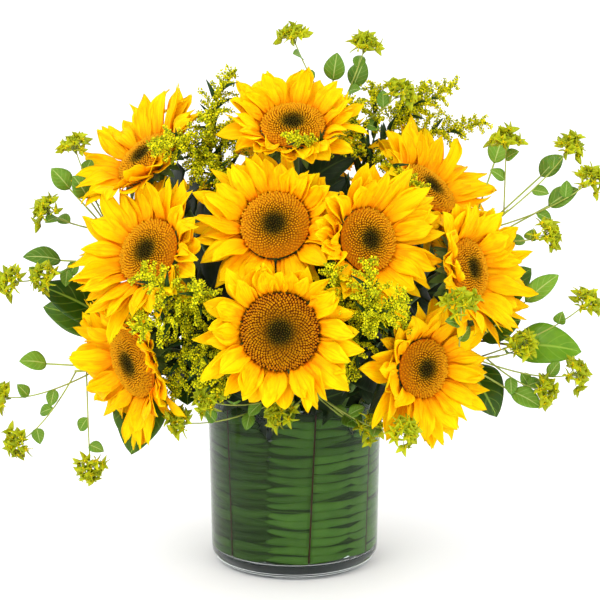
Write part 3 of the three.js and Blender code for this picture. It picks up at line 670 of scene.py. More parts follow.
def ground_glass_material():
    """The ground underside of the foot: grey-white, with a fine grain."""
    material, tree, shader = new_material("ground_glass", Roughness=0.7, Transmission_Weight=0.3)
    grain = mottle(tree, 1.5)
    colour = add_node(tree, "Mix", {"Factor": grain, FIRST: "#747c80", SECOND: "#a8b0b2"}, **MIXED)
    bump = add_node(tree, "Bump", {"Height": grain, "Distance": 0.1 * MM, "Strength": 0.5})
    tree.links.new(colour, shader.inputs["Base Color"])
    tree.links.new(bump, shader.inputs["Normal"])
    return material


def water_material():
    """Fresh tap water: clear and smooth, with a breath of green from the stems."""
    return new_material(
        "clear_water", Base_Color="#eef6f2", Roughness=0.0, IOR=1.333, Transmission_Weight=1.0,
    )[0]


# The heads: waxy petals, dry florets, and bracts, stems and leaves with soft hair on them.
PETAL = petal_material()
OPEN_DISC = disc_material("sunflower_disc_open", ["#784c04", "#7c3402", "#501402"], "#f89c0c")
YOUNG_DISC = disc_material("sunflower_disc_young", ["#8c5c04", "#c07406", "#d88806"], "#ffb810")
BRACT_GREEN = green_material("sunflower_bract", "#3f5a1c", "#6d8a34", 6, 0.65, sheen=0.2)
STEM_GREEN = green_material("sunflower_stem", "#4a6a26", "#7d9a48", 10, 0.6, sheen=0.2)
# The sunflower leaves are painted a much darker green than their own: painted shade, as they hang
# inside the bunch.
SUNFLOWER_LEAF_IN_SHADE = leaf_material("sunflower_leaf_painted_shade", "#122408", "#284012", "#40581c", 0.6)
# Goldenrod: powdery bright blossoms on dull green.
GOLDENROD_FLORET = floret_material("goldenrod_floret", "#7e8e08", "#faf014")
GOLDENROD_STEM = green_material("goldenrod_stem", "#34480c", "#5e7018", 4, 0.6)
GOLDENROD_LEAF = leaf_material("goldenrod_leaf", "#16300a", "#2e5214", "#4a7020", 0.55, 4.0)
# Bupleurum: smooth, lime-green bracts, blue-green leaves and pale stalks.
BUPLEURUM_BRACT = leaf_material("bupleurum_bract", "#9aae04", "#d8d80c", "#dcdc24", 0.55, 5.0)
BUPLEURUM_FLOWER = floret_material("bupleurum_flower", "#d0b006", "#f4d810")
BUPLEURUM_LEAF = leaf_material("bupleurum_leaf", "#56881c", "#84b034", "#bcd078", 0.5, 6.0)
BUPLEURUM_STALK = green_material("bupleurum_stalk", "#8fa23c", "#b4bd62", 6, 0.5)
# Salal: leathery leaves with a thin gloss, on a woody stem.
# Its colour for tone and shade is painted shade, darkening all salal leaves but the brightest.
SALAL_LEAF = leaf_material(
    "salal_leaf", "#4c7c10", "#72a414", "#98bc40", 0.4, 6.0, coat=0.08, tone_and_shade="#708878"
)
SALAL_STEM = green_material("salal_stem", "#4a3a1c", "#5f5a2a", 5, 0.7)
# Sword fern, wet behind the glass, with a brown rib, and painted shade that darkens its leaflets.
FERN = leaf_material(
    "sword_fern_leaflet", "#446e26", "#649638", "#547e2c", 0.6, 0.0, tone_and_shade="#1c2e2a"
)
FERN_RIB = green_material("sword_fern_rib", "#3a2016", "#5e3a26", 4, 0.6)
# The vase and what it holds.
GLASS = glass_material()
GROUND_GLASS = ground_glass_material()
WATER = water_material()


# ------------------------------------------------------------------ vase and water
def outer_radius(z):
    return FOOT_RADIUS + (RIM_RADIUS - FOOT_RADIUS) * z / VASE_HEIGHT


def inner_radius(z):
    return outer_radius(z) - WALL


def make_vase():
    """The cylinder: a thick foot with a ground ring to stand on and a hollow inside it, a
    round heel, a wall that widens a little, and a round lip."""
    lip = WALL / 2
    side = outer_radius(HEEL)
    inside = inner_radius(BASE + CORNER) - CORNER
    ring = side - HEEL - FOOT_RING
    heel = [
        (radius + RIPPLE * math.sin(RIPPLE_RATE * z), z)
        for radius, z in arc(side - HEEL, HEEL, HEEL, -90, -30, 24)
    ]
    profile = [
        (0, PUNT), (ring - FOOT_SLOPE, PUNT), (ring, 0), *heel,
        (side - 1.6, 7.6), (side - 0.5, 9.4), (side, HEEL),
        *arc(outer_radius(VASE_HEIGHT) - lip, VASE_HEIGHT - lip, lip, 0, 180, 10),
        *arc(inside, BASE + CORNER, CORNER, 0, -90, 8),
        (0, BASE),
    ]
    vase = Piece("vase_cylinder", "glass", ["vase_glass"], [GLASS, GROUND_GLASS])
    vase.add(turned(profile, 128), GLASS)
    for face in vase.body.faces:
        if all(corner.co.z < GROUND_UP_TO for corner in face.verts):
            face.material_index = vase.finishes.index(GROUND_GLASS)
    return vase.finish()


def make_water():
    """The water, with a low meniscus where it meets what it stands against."""
    edge = WATER_RADIUS
    rim = [(edge - inward, WATER_LEVEL + up) for inward, up in MENISCUS]
    profile = [(0, STEM_FOOT), (edge - 1, STEM_FOOT), (edge, STEM_FOOT + 1), *rim, (0, rim[-1][1])]
    water = Piece("vase_water", "water", ["water"], [WATER])
    water.add(turned(profile, 96), WATER)
    return water.finish()


# ------------------------------------------------------------------ fern lining
def make_frond(number):
    """A fern frond, wet and pressed flat against the glass, so that its faces lie a
    hair inside it: a brown rib, with leaflets like shingles on either side, and another
    layer of leaflets behind them, painted in deep shade."""
    name = f"fern_frond_{number + 1}"
    frond = Piece(f"frond_{number + 1}", "fern", [name], [FERN, FERN_RIB])
    radius = inner_radius(FROND_BOTTOM) - LEAFLET_THICKNESS
    half = math.pi * radius / FRONDS
    top = FROND_TOP - FRONDS_DIFFER * scatter(31, number)
    rib = math.radians(FIRST_RIB + number * 360 / FRONDS)
    shift, sway = RIB_PLACES[number]

    def on_wall(x, z, pressed):
        out = inner_radius(z) + pressed
        angle = rib + (x + shift + sway * (z / VASE_HEIGHT - 0.5)) / radius
        return Vector((out * math.cos(angle), out * math.sin(angle), z))

    count = int((top - FROND_BOTTOM) / LEAFLET_PITCH)
    for side, behind, k in itertools.product((1, -1), (0, 1), range(count)):
        seed = 40 * number + 20 * side + 7 + 3 * behind
        foot = FROND_BOTTOM + 2.5 + (k + 0.5 * behind) * LEAFLET_PITCH + 1.4 * scatter(seed, k)
        reach = half - side * shift + OVERLAP + 1.5 * scatter(seed + 1, k)
        if k > count - 4:  # the frond narrows towards its tip
            reach *= 1 - 0.1 * (k - count + 4)
        rise = 1.5 + 2.5 * scatter(seed + 2, k)
        width = LEAFLET_PITCH * (0.8 if behind else 0.53 + 0.07 * scatter(seed + 3, k))
        narrowing = 0.0 if behind else 0.5 + 0.12 * scatter(seed + 5, k)

        def place(along, across):
            taper = min(1.0, 0.85 + along) * (1 - narrowing * along) * (1 - along**8) ** 0.5
            wave = 0.6 * math.sin(5 * along + 3 * foot)
            z = foot + rise * along * along + across * taper * width + wave
            pressed = (BACK_PRESSED if behind else FRONT_PRESSED) - 0.1 * across
            return on_wall(side * (RIB_RADIUS + along * reach), max(z, FROND_BOTTOM - 1), pressed)

        # Painted shade: the leaflets behind are painted in full shade, and the front ones are
        # lighter or darker by their frond, with a random tone on top.
        tone = 0.0 if behind else FROND_SHADING[number] + 0.25 * scatter(seed + 4, k)
        frond.add(blade(10, 3, place, LEAFLET_THICKNESS, tone), FERN)
    heights = [FROND_BOTTOM + (top - FROND_BOTTOM) * k / 16 for k in range(17)]
    line = [on_wall(0, z, BACK_PRESSED) for z in heights]
    frond.add(tube(line, lambda share: RIB_RADIUS - 0.2 * share, 8), FERN_RIB)
    return frond.finish()


# ------------------------------------------------------------------ leaves
def leaf_blade(root, tip, width, outline, arch, fold, wave=0.0, tint=0.5, thick=0.3,
               rows=12, columns=6, facing=LEAF_FACING):
    """A leaf from its root to its tip. The outline says how wide it is along its way,
    arch how far it bends, fold how far its two halves stand up from the midrib, and wave
    how far its edges ripple."""
    length = (tip - root).length
    forward = (tip - root).normalized()
    across = forward.cross(facing).normalized()
    face = across.cross(forward)

    def place(along, aside):
        half = width / 2 * outline(along)
        bend = arch * length * 4 * along * (1 - along)
        crease = fold * abs(aside) * half
        ripple = wave * half * math.sin(11 * along + 2.5 * aside) * abs(aside)
        spot = root + forward * (along * length) + across * (aside * half)
        return spot + face * (bend + crease + ripple)

    return blade(rows, columns, place, thick, tint)


# Outlines: how wide a blade is on its way from root, 0, to tip, 1.
def oval(along):
    return max(0.0, math.sin(math.pi * along**0.85)) ** 0.75


def pointed(along):
    return max(0.0, 1 - along) ** 0.8 * min(1.0, 0.35 + 3.4 * along) * 1.25


def heart(along):
    return min(1.0, 0.5 + 3 * along) * max(0.0, 1 - along**1.6) ** 0.9


def petal_outline(along):
    if along < PETAL_WIDEST:
        return 0.45 + 0.55 * math.sin(math.pi / 2 * along / PETAL_WIDEST)
    return max(0.0, 1 - ((along - PETAL_WIDEST) / (1 - PETAL_WIDEST)) ** 2) ** 0.95


def bract_outline(along):
    return max(0.0, 1 - along**1.3) ** 0.9


# ------------------------------------------------------------------ sunflower heads
def head_placing(at, turn, tilt):
    """A head's own placing: +Z the way it faces, +Y the upward way across the disc."""
    turn, tilt = math.radians(turn), math.radians(tilt)
    level = math.cos(tilt)
    facing = Vector((math.sin(turn) * level, -math.cos(turn) * level, math.sin(tilt)))
    upward = (UP - facing * UP.dot(facing)).normalized()
    return placing_of(upward.cross(facing), upward, facing, Vector(at))


def settled_petals(name, placing, hinge):
    """How far each petal of the frame's crown leans forward, and its length."""
    inverse = placing.inverted()
    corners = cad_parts["petals_" + name].data.vertices
    places = np.array([inverse @ (corner.co / MM) for corner in corners])
    out = np.hypot(places[:, 0], places[:, 1])
    angle = np.degrees(np.arctan2(places[:, 1], places[:, 0]))
    leans, lengths = [], []
    for petal in range(CAD_PETALS):
        aside = (angle - petal * 360 / CAD_PETALS + 180) % 360 - 180
        drop = -LAYER_DROP * (petal % 2)
        reach = np.hypot(out - hinge, places[:, 2] - drop)
        own = (np.abs(aside) < PETAL_SECTOR) & (out > hinge)
        tip = np.argmax(np.where(own, reach, 0))
        leans.append(math.atan2(places[tip, 2] - drop, out[tip] - hinge))
        lengths.append(float(reach[tip]))
    return leans, lengths


def between(values, layer, turn):
    """A value between those of the nearest upper, 0, or lower, 1, petals of the crown."""
    picked = values[layer::2]
    place = (turn / math.tau * CAD_PETALS - layer) / 2 % len(picked)
    low = int(place) % len(picked)
    share = place - int(place)
    return picked[low] * (1 - share) + picked[(low + 1) % len(picked)] * share


def ray(turn, hinge, z, length, width, lean, outline, arch, twist, slant, cup, curl, thick,
        tint, rows=11, columns=8, pleat=0.0, wave=0.0, phase=0.0, blunt=0.0):
    """A petal or bract that stands out from the head: it leaves at its lean, arches
    back along its length, its tip may curl or be blunt and toothed, and its edges may
    go in waves."""
    leans = [lean + arch * (0.5 - k / rows) + curl * (k / rows) ** 3 for k in range(rows + 1)]
    outs, ups = [hinge], [z]
    for near, far in zip(leans, leans[1:]):
        middle = (near + far) / 2
        outs.append(outs[-1] + length / rows * math.cos(middle))
        ups.append(ups[-1] + length / rows * math.sin(middle))
    rotate = Matrix.Rotation(turn, 3, "Z")

    def place(along, across):
        row = round(along * rows)
        half = width / 2 * (outline(along) + blunt * along**4)
        half *= 1 + 0.5 * wave * math.sin(9 * along + 2 * phase)
        teeth = 0.32 * across * across + 0.07 * math.cos(3.5 * math.pi * across + phase)
        pulled = blunt * length * along**6 * teeth
        lift = cup * half * across * across
        lift += pleat * math.cos(2.5 * math.pi * across) * (1 - along)
        lift += wave * half * math.sin(7 * along + phase + across) * abs(across)
        roll = twist * along**1.5
        aside = across * half * math.cos(roll) - lift * math.sin(roll)
        lift = across * half * math.sin(roll) + lift * math.cos(roll)
        return rotate @ Vector((
            outs[row] - lift * math.sin(leans[row]) - pulled * math.cos(leans[row]),
            aside + slant * length * along * along,
            ups[row] + lift * math.cos(leans[row]) - pulled * math.sin(leans[row]),
        ))

    return blade(rows, columns, place, thick, tint)


def make_petals(name, number):
    """A head's crown: three rings of petals that follow the frame's, each petal with a
    lean, width, arch, twist, slant, cup, curl and waves of its own."""
    at, turn, tilt, disc, reach, _, _ = BLOOMS[name]
    placing = head_placing(at, turn, tilt)
    hinge = disc + DISC_MARGIN
    leans, lengths = settled_petals(name, placing, hinge)
    crown = Piece(f"{name}_petals", "petal", [f"petals_{name}"], [PETAL])
    for ring, (count, layer, rise, share, z, first) in enumerate(PETAL_RINGS):
        for k in range(count):
            seed = 100 * number + 31 * ring
            vary = [scatter(seed + draw, k) for draw in range(9)]
            turned_by = (k + first + 0.28 * vary[0]) * math.tau / count
            length = between(lengths, layer, turned_by) * share * (1 + 0.16 * vary[1])
            length = max(length, SHORTEST * (reach - hinge) * (1 + 0.15 * vary[1]))
            length *= PETAL_TRIM.get(name, 1.0)
            lean = between(leans, layer, turned_by)
            if lean > STEEPEST:
                length *= 1 - 0.12 * (lean - STEEPEST)
                lean = STEEPEST + 0.1 * (lean - STEEPEST)
            petal = ray(
                turned_by, hinge - 1, z, length, PETAL_WIDTH + 3.5 * vary[3],
                lean + rise + 0.17 * vary[2], petal_outline, arch=0.35 + 0.35 * vary[4],
                twist=0.9 * vary[5], slant=0.26 * vary[6], cup=0.2 + 0.4 * vary[7],
                curl=0.9 * vary[8], thick=PETAL_THICKNESS, tint=0.5 + 0.5 * vary[0],
                pleat=0.5, wave=0.19 + 0.1 * vary[4], phase=3 * vary[1] + k,
                blunt=0.19 + 0.18 * vary[7],
            )
            bmesh.ops.transform(petal, matrix=placing, verts=petal.verts)
            crown.add(petal, PETAL)
    return crown.finish()


def dome(share):
    """Height of the disc at a share of its radius: a low dome, dipped in the middle."""
    bulge = DOME_HEIGHT * (1 - share * share)
    return RIM_HEIGHT + bulge - DIP_DEPTH * math.exp(-DIP_TIGHTNESS * share * share)


def floret_patterns(head, finish):
    """Two patterns: a closed bud, and an open floret, which is a tube with a hole."""
    bud = fresh()
    bmesh.ops.create_cone(
        bud, cap_ends=True, segments=6, radius1=0.9, radius2=0.5, depth=2.4,
    )
    mark(bud, along=lambda place: place.z / 2.2 + 0.5)
    floret = fresh()
    bmesh.ops.create_cone(
        floret, cap_ends=True, segments=6, radius1=0.45, radius2=0.8, depth=3.2,
    )
    top = [face for face in floret.faces if face.calc_center_median().z > 1.4]
    bmesh.ops.inset_region(floret, faces=top, thickness=0.3, depth=-0.8)
    mark(floret, along=lambda place: max(0.0, min(1.0, place.z / 3.0 + 0.5)))
    return head.pattern(bud, finish), head.pattern(floret, finish)


def make_disc(name, number):
    """A head's disc: a domed ground, and on it florets in a golden-angle spiral, closed
    in the middle and open as far in as the head has come."""
    at, turn, tilt, disc, _, _, opened = BLOOMS[name]
    placing = head_placing(at, turn, tilt)
    finish = OPEN_DISC if opened > 0.5 else YOUNG_DISC
    head = Piece(f"{name}_disc", "seed_disc", [f"disc_{name}"], [finish])
    profile = [(0, HEAD_FLOOR), (disc * 0.97, HEAD_FLOOR)]
    profile += [(disc * k / 14, HEAD_FLOOR + dome(k / 14) - 1.2) for k in range(14, -1, -1)]
    ground = turned(profile, 48)
    mark(ground, along=0.0, across=lambda place: math.hypot(place.x, place.y) / disc, tint=0.0)
    bmesh.ops.transform(ground, matrix=placing, verts=ground.verts)
    head.add(ground, finish)
    bud, floret = floret_patterns(head, finish)
    count = int(math.pi * disc * disc / FLORET_SPACING**2)
    for k in range(count):
        share = math.sqrt((k + 0.5) / count)
        slope = (dome(share + 0.01) - dome(share - 0.01)) / (0.02 * disc)
        lean = math.atan(-slope) + 0.35 * share**3 + 0.08 * scatter(number + 50, k)
        size = (1.0 if share > 0.35 else 0.85) * (1 + 0.1 * scatter(number + 60, k))
        place = Vector((
            share * disc * 0.985 + 0.3 * scatter(number + 80, k),
            0.35 * scatter(number + 90, k),
            HEAD_FLOOR + dome(share) + 0.35 * scatter(number + 65, k),
        ))
        local = (
            Matrix.Rotation(k * GOLDEN, 4, "Z")
            @ Matrix.Translation(place)
            @ Matrix.Rotation(lean, 4, "Y")
            @ Matrix.Rotation(k, 4, "Z")
            @ Matrix.Scale(size, 4)
        )
        pattern = floret if share > 1.0 - 0.55 * opened - 0.12 else bud
        head.set_down(pattern, placing @ local, 0.12 + 0.12 * scatter(number + 70, k), share)
    return head.finish()


def out_of_room(spots):
    """Whether any of the spots lies too near a head or the vase's rim."""
    behind, before, beyond = HEAD_ROOM
    if any(spot.z < VASE_HEIGHT + ABOVE_RIM for spot in spots):
        return True
    for at, turn, tilt, disc, _, _, _ in BLOOMS.values():
        inverse = head_placing(at, turn, tilt).inverted()
        for spot in spots:
            seen = inverse @ spot
            if behind < seen.z < before and math.hypot(seen.x, seen.y) < disc + beyond:
                return True
    return False


def add_stem_leaf(stem, line, number, k):
    """One of a sunflower stem's leaves, as long as there is room for it in the bunch."""
    share = 0.46 + 0.44 * k / (STEM_LEAVES - 1)
    spot, way = point_at(line, share)
    outward = Vector((spot.x, spot.y, 0.3 * (spot.z - VASE_HEIGHT))).normalized()
    spin = Quaternion(outward, math.pi * (k % 2) + 0.7 * scatter(number, k))
    out = ((spin @ way.cross(outward)).normalized() + 0.2 * way).normalized()
    reach = 58 + 12 * scatter(number + 1, k)
    while reach > SHORTEST_LEAF and out_of_room([spot + out * reach, spot + out * (0.6 * reach)]):
        reach *= 0.8
    if reach > SHORTEST_LEAF:
        root = spot + out * 0.17 * reach
        stem.add(tube([spot, spot + out * 6 + UP * 1.5, root], 1.4, 6), STEM_GREEN)
        leaf = leaf_blade(
            root, spot + out * reach, reach * (0.82 + 0.12 * scatter(number + 3, k)), heart,
            arch=0.1, fold=0.2, wave=0.08, tint=0.5 + 0.5 * scatter(number, k), thick=0.5,
            facing=outward,
        )
        stem.add(leaf, SUNFLOWER_LEAF_IN_SHADE)


def make_stem(name, number):
    """The head's green back with two rows of pointed bracts, its stem, and the leaves
    that the stem bears inside the bunch."""
    at, turn, tilt, disc, _, foot, _ = BLOOMS[name]
    placing = head_placing(at, turn, tilt)
    finishes = [BRACT_GREEN, STEM_GREEN, SUNFLOWER_LEAF_IN_SHADE]
    stem = Piece(f"{name}_stem", "stem", [f"stem_{name}"], finishes)
    top = -LAYER_DROP - 0.8
    radius = disc * 0.84
    low = top - BACK_DEPTH - 3
    back = turned([
        (0, top), (radius, top), (radius * 1.02, top - 2), (radius * 0.8, top - 7),
        (radius * 0.4, top - BACK_DEPTH + 1), (STEM_RADIUS * 1.2, low), (0, low),
    ], 36)
    bmesh.ops.transform(back, matrix=placing, verts=back.verts)
    stem.add(back, BRACT_GREEN)
    for row, (count, lean, z) in enumerate([(15, -0.1, -1.6), (13, -0.65, -3.5)]):
        for k in range(count):
            vary = [scatter(80 * number + 17 * row + draw, k) for draw in range(5)]
            bract = ray(
                (k + 0.5 * row + 0.2 * vary[0]) * math.tau / count, radius * 0.86, top + z,
                17 + 4 * vary[1], 11 + vary[2], lean + 0.2 * vary[3], bract_outline, arch=0.5,
                twist=0.2 * vary[4], slant=0.05 * vary[0], cup=0.2, curl=-0.5, thick=0.5,
                tint=0.5 + 0.5 * vary[1], rows=6, columns=4,
            )
            bmesh.ops.transform(bract, matrix=placing, verts=bract.verts)
            stem.add(bract, BRACT_GREEN)
    behind = placing @ Vector((0, 0, top - BACK_DEPTH - NECK))
    end = placing @ Vector((0, 0, top - 0.6 * BACK_DEPTH))
    line = stem_line(foot, behind, end)
    uneven = tube(line, lambda share: STEM_RADIUS * (0.98 + 0.06 * math.sin(9 * share)), 12)
    stem.add(uneven, STEM_GREEN)
    for k in range(STEM_LEAVES):
        add_stem_leaf(stem, line, number, k)
    return stem.finish()


# ------------------------------------------------------------------ sprigs
def sprig_stem(name, foot, fork):
    """The sprig's main stem, by the way that comes closest to its node in the frame, and
    a tree that finds how near that node is."""
    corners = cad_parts[name].data.vertices
    tree = KDTree(len(corners))
    for number, corner in enumerate(corners):
        tree.insert(corner.co / MM, number)
    tree.balance()
    fork = Vector(fork)
    outward = (fork - Vector((0, 0, 150))).normalized()
    lines = []
    for climb, approach in itertools.product(CLIMBS, APPROACHES):
        behind = fork - outward * approach
        behind.z = max(behind.z, VASE_HEIGHT + 26)
        lines.append(stem_line(foot, behind, fork, climb))
    middle = slice(8, 22, 2)
    line = min(lines, key=lambda way: sum(tree.find(spot)[2] for spot in way[middle]))
    return line, tree


def fork_at(line, number):
    """Where the branch of that number leaves the main stem, counted from its top."""
    return point_at(line, 1 - FORK_STEP * (number + 1))[0]


def settled(place, tree):
    """A place as the frame has it, which may lie a nudge away from where it is listed."""
    spots = [Vector(place) + Vector(nudge) for nudge in NUDGES]
    return min(spots, key=lambda spot: tree.find(spot)[2])


def blade_root(start, root, tip):
    """Where a leaf's blade starts on its way from the stem: as long as it is listed."""
    share = (Vector(root) - tip).length / (start - tip).length
    return tip.lerp(start, min(share, 0.9))


def ball():
    """A tiny round blossom, of radius 1."""
    body = fresh()
    bmesh.ops.create_icosphere(body, subdivisions=1, radius=1.0)
    return body


def add_spray(sprig, blossom, line, bare, seed):
    """A side spray of goldenrod: a thin twig with tiny blossoms all round it, but for
    its bare share."""
    sprig.add(tube(line, TWIG_RADIUS, 3), GOLDENROD_STEM)
    count = int((1 - bare) * length_of(line) / BLOSSOM_STEP)
    for k in range(count):
        spot, way = point_at(line, bare + (1 - bare) * k / count)
        around = beside(way, k * GOLDEN)
        size = 0.78 + 0.25 * scatter(seed + 5, k)
        placing = (
            Matrix.Translation(spot + around * (1.6 + 1.1 * scatter(seed + 2, k)) + UP * 0.4)
            @ Quaternion(around, 2 * k).to_matrix().to_4x4()
            @ Matrix.Diagonal((size, size, size * 1.3, 1))
        )
        sprig.set_down(blossom, placing, 0.5 + 0.5 * scatter(seed + 6, k))


def add_plume(sprig, blossom, axis, bare, fullness, seed):
    """A goldenrod plume: side sprays round its axis, longest in the middle, a spray on
    its end, and narrow leaves."""
    sprig.add(tube(axis, lambda share: 1.1 - 0.6 * share, 6), GOLDENROD_STEM)
    flowering = (1 - bare) * length_of(axis)
    for k in range(int(flowering / SPRAY_STEP)):
        share = (k + 0.5) * SPRAY_STEP / flowering
        spot, way = point_at(axis, bare + (1 - bare) * share)
        out = beside(way, k * GOLDEN + 0.6 * scatter(seed, k))
        reach = SPRAY_REACH * (0.35 + 0.7 * math.sin(math.pi * share**0.7))
        reach *= (1 + 0.3 * scatter(seed + 1, k)) * fullness
        bend = spot + (0.55 * out + 0.3 * way + 0.15 * UP) * reach
        tip = spot + (0.95 * out + 0.45 * way) * reach
        add_spray(sprig, blossom, smooth_line([spot, bend, tip], 5), 0.15, seed + 7 * k)
    add_spray(sprig, blossom, axis[len(axis) // 2 :], 0.0, seed)
    for k in range(PLUME_LEAVES):
        spot, way = point_at(axis, 0.1 + 0.085 * k)
        tip = spot + beside(way, k * GOLDEN) * 15 + way * 14
        leaf = leaf_blade(spot, tip, 4.5, pointed, arch=0.12, fold=0.25, rows=6, columns=2)
        sprig.add(leaf, GOLDENROD_LEAF)


def make_goldenrod(name, number):
    """A goldenrod sprig: arching plumes whose short twigs carry tiny blossoms."""
    foot, fork, plumes = GOLDENROD[name]
    line, tree = sprig_stem(name, foot, fork)
    finishes = [GOLDENROD_FLORET, GOLDENROD_STEM, GOLDENROD_LEAF]
    sprig = Piece(f"{name}_sprig", "goldenrod", [name], finishes)
    sprig.add(tube(line, lambda share: 1.9 - 0.5 * share, 8), GOLDENROD_STEM)
    blossom = sprig.pattern(ball(), GOLDENROD_FLORET)
    for plume, points in enumerate(plumes):
        start = fork_at(line, plume)
        bow = Vector(BOWED.get((name, plume), (0, 0, 0)))
        nudge = settled(points[-1], tree) - Vector(points[-1]) + bow
        moved = [Vector(point) + nudge * k / 2 for k, point in enumerate(points)]
        axis = smooth_line([start, *moved], 30)
        bare = (moved[0] - start).length / length_of(axis)
        fullness = SPRAY_SHARE.get((name, plume), 1.0)
        add_plume(sprig, blossom, axis, bare, fullness, 211 * number + 17 * plume)
    for k in range(GOLDENROD_LEAVES):
        spot, way = point_at(line, 0.55 + 0.42 * k / GOLDENROD_LEAVES)
        tip = spot + beside(way, k * GOLDEN) * 30 + way * 22
        leaf = leaf_blade(spot, tip, 7, pointed, arch=0.12, fold=0.25, rows=8, columns=4)
        sprig.add(leaf, GOLDENROD_LEAF)
    return sprig.finish()


def make_salal(name, number):
    """A salal sprig: a woody stem with broad, pointed, leathery leaves."""
    foot, fork, leaves = SALAL[name]
    line, tree = sprig_stem(name, foot, fork)
    sprig = Piece(f"{name}_sprig", "salal", [name], [SALAL_LEAF, SALAL_STEM])
    sprig.add(tube(line, lambda share: 2.0 - 0.5 * share, 10), SALAL_STEM)
    for k, (root, tip, width) in enumerate(leaves):
        start = fork_at(line, k)
        shift = Vector(LEAF_SHIFTS.get((name, k), (0, 0, 0)))
        end = settled(tip, tree) + shift
        base = blade_root(start, Vector(root) + shift, end)
        sprig.add(tube([start, start.lerp(base, 0.5) + UP * 1.5, base], 1.0, 6), SALAL_STEM)
        # Painted light and shade: the brightest leaf keeps its full colour, the others are
        # darkened towards the colour for tone and shade.
        tone = 1.0 if (name, k) == BRIGHT_LEAF else 0.3 + 0.3 * scatter(number, k)
        leaf = leaf_blade(
            base, end, width, oval, arch=0.1, fold=0.22, wave=0.05, tint=tone, thick=0.5,
            rows=16, columns=8,
        )
        sprig.add(leaf, SALAL_LEAF)
    return sprig.finish()


def star_placing(placing, spin, share, top):
    """The placing of an umbel's star of bracts, which leans out with its ray."""
    return (
        Matrix.Translation(top)
        @ placing.to_3x3().to_4x4()
        @ Matrix.Rotation(spin, 4, "Z")
        @ Matrix.Rotation(1.1 * share, 4, "Y")
    )


def add_umbel(sprig, bract, blossom, place, facing, seed):
    """An umbel: a few rays, each with a star of bracts round a knot of blossoms."""
    side = beside(facing)
    placing = placing_of(side, facing.cross(side), facing, place)
    for number in range(UMBEL_RAYS):
        spin = number * GOLDEN
        share = math.sqrt(number / (UMBEL_RAYS - 1))
        out = UMBEL_RADIUS * share * (1 + 0.2 * scatter(seed, number))
        rise = 7 + 3 * scatter(seed + 1, number) - 9 * share * share
        top = placing @ Vector((out * math.cos(spin), out * math.sin(spin), rise))
        stalk = tube([place - facing * 7, place.lerp(top, 0.4), top], TWIG_RADIUS, 3)
        sprig.add(stalk, BUPLEURUM_STALK)
        star = star_placing(placing, spin, share, top)
        for k in range(BRACTS):
            draw = BRACTS * number + k
            shape = (
                Matrix.Rotation(k * math.tau / BRACTS + scatter(seed + 2, number), 4, "Z")
                @ Matrix.Rotation(-0.35 + 0.3 * scatter(seed + 3, draw), 4, "Y")
                @ Matrix.Scale(BRACT_LENGTH + 1.6 * scatter(seed + 4, draw), 4)
            )
            sprig.set_down(bract, star @ shape, 0.5 + 0.5 * scatter(seed + 5, draw))
        for k in range(STAR_BLOSSOMS):
            away, turn = 0.9 * math.sqrt(k), k * GOLDEN
            spot = Vector((away * math.cos(turn), away * math.sin(turn), 2.4 - 0.3 * away))
            shape = Matrix.Translation(spot) @ Matrix.Scale(0.85, 4)
            sprig.set_down(blossom, star @ shape, 0.5 + 0.5 * scatter(seed + 6, k))


def make_bupleurum(name, number):
    """A bupleurum sprig: thin pale stalks, round-based oval leaves, lime umbels."""
    foot, fork, umbels, leaves = BUPLEURUM[name]
    line, tree = sprig_stem(name, foot, fork)
    finishes = [BUPLEURUM_BRACT, BUPLEURUM_FLOWER, BUPLEURUM_LEAF, BUPLEURUM_STALK]
    sprig = Piece(f"{name}_sprig", "bupleurum", [name], finishes)
    sprig.add(tube(line[:-1], lambda share: 1.7 - 0.6 * share, 8), BUPLEURUM_STALK)
    bract = leaf_blade(
        Vector((0, 0, 0)), Vector((1, 0, 0.12)), 0.62, heart, arch=0.06, fold=0.25, tint=0.0,
        thick=0.05, rows=5, columns=2,
    )
    bract = sprig.pattern(bract, BUPLEURUM_BRACT)
    blossom = sprig.pattern(ball(), BUPLEURUM_FLOWER)
    places = [settled(place, tree) for place in umbels]
    places += [Vector(place) for place in HANGING.get(name, [])]
    for k, place in enumerate(places):
        start = fork_at(line, k)
        facing = ((place - start).normalized() + UP * 0.5).normalized()
        bend = place - facing * (0.35 * (place - start).length)
        near, far = start.lerp(bend, 2 / 3), place.lerp(bend, 2 / 3)
        stalk = interpolate_bezier(start, near, far, place, 14)
        sprig.add(tube(stalk, lambda share: 0.75 - 0.25 * share, 6), BUPLEURUM_STALK)
        add_umbel(sprig, bract, blossom, place - facing * 3, facing, 19 * number + 5 * k)
        for pair, share in enumerate((0.45, 0.72)):
            spot, way = point_at(stalk, share)
            tip = spot + beside(way, pair * 2.5 + k) * 13 + way * 9
            leaf = leaf_blade(spot, tip, 11, oval, arch=0.08, fold=0.3, rows=8, columns=4)
            sprig.add(leaf, BUPLEURUM_LEAF)
    for k, (root, tip) in enumerate(leaves):
        start = fork_at(line, len(umbels) + k)
        end = settled(tip, tree)
        base = blade_root(start, root, end).lerp(end, 0.34)
        sprig.add(tube([start, start.lerp(base, 0.5) + UP, base], 0.8, 5), BUPLEURUM_STALK)
        tone = 0.5 + 0.5 * scatter(number, k)
        leaf = leaf_blade(
            base, end, 18, oval, arch=0.1, fold=0.25, wave=0.03, tint=tone, thick=0.4,
        )
        sprig.add(leaf, BUPLEURUM_LEAF)
    return sprig.finish()


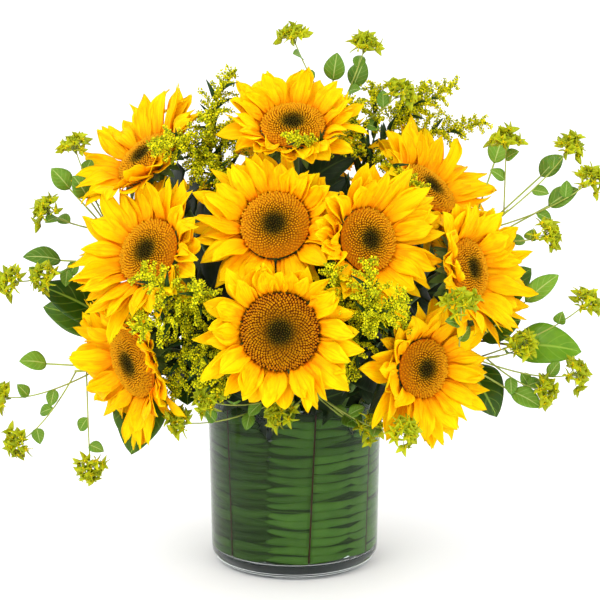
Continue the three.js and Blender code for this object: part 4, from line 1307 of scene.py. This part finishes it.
# ------------------------------------------------------------------ the bunch
make_vase()
make_water()
for number in range(FRONDS):
    make_frond(number)
for number, name in enumerate(BLOOMS):
    make_petals(name, number + 1)
    make_disc(name, number + 1)
    make_stem(name, number + 1)
for sprigs, make in (
    (GOLDENROD, make_goldenrod), (SALAL, make_salal), (BUPLEURUM, make_bupleurum),
):
    for number, name in enumerate(sprigs):
        make(name, number + 1)


# ------------------------------------------------------------------ stage, in metres
FLOOR_HALF = 40
CAMERA_PLACE = (0.0048, -1.7639, 0.5909)
LOOKS_DOWN = 11.5  # degrees
LENS = 124.4
SENSOR = 36
LIT_AT = Vector((0, 0, 0.25))  # where both lamps point
# Each lamp: its place, the side of its square face, and its power in watts.
LAMPS = {"key": ((-1.1, -1.5, 1.7), 1.2, 17), "fill": ((1.4, -1.2, 0.9), 1.4, 6)}
SKY = 1.31  # strength of the white light from all round


def make_floor():
    mesh = bpy.data.meshes.new("floor")
    body = bmesh.new()
    bmesh.ops.create_grid(body, x_segments=1, y_segments=1, size=FLOOR_HALF)
    body.to_mesh(mesh)
    body.free()
    mesh.materials.append(new_material("white_paper", Base_Color="#ffffff", Roughness=0.9)[0])
    floor = bpy.data.objects.new("floor", mesh)
    bpy.context.scene.collection.objects.link(floor)


def add_lamp(name, place, size, power):
    light = bpy.data.lights.new(name, "AREA")
    light.size, light.energy = size, power
    lamp = bpy.data.objects.new(name, light)
    lamp.location = place
    lamp.rotation_euler = (LIT_AT - Vector(place)).to_track_quat("-Z", "Y").to_euler()
    bpy.context.scene.collection.objects.link(lamp)


def add_camera():
    """From a little above the bunch, looking slightly down at its middle."""
    view = bpy.data.cameras.new("camera")
    view.sensor_width = SENSOR
    view.lens = LENS
    camera = bpy.data.objects.new("camera", view)
    camera.location = CAMERA_PLACE
    camera.rotation_euler = (math.radians(90 - LOOKS_DOWN), 0, 0)
    bpy.context.scene.collection.objects.link(camera)
    bpy.context.scene.camera = camera


def add_sky():
    world = bpy.data.worlds.new("studio")
    world.use_nodes = True
    sky = world.node_tree.nodes["Background"]
    sky.inputs["Color"].default_value = linear("#ffffff")
    sky.inputs["Strength"].default_value = SKY
    bpy.context.scene.world = world


make_floor()
for name, (place, size, power) in LAMPS.items():
    add_lamp(name, place, size, power)
add_camera()
add_sky()
bpy.context.scene.view_settings.view_transform = "Standard"
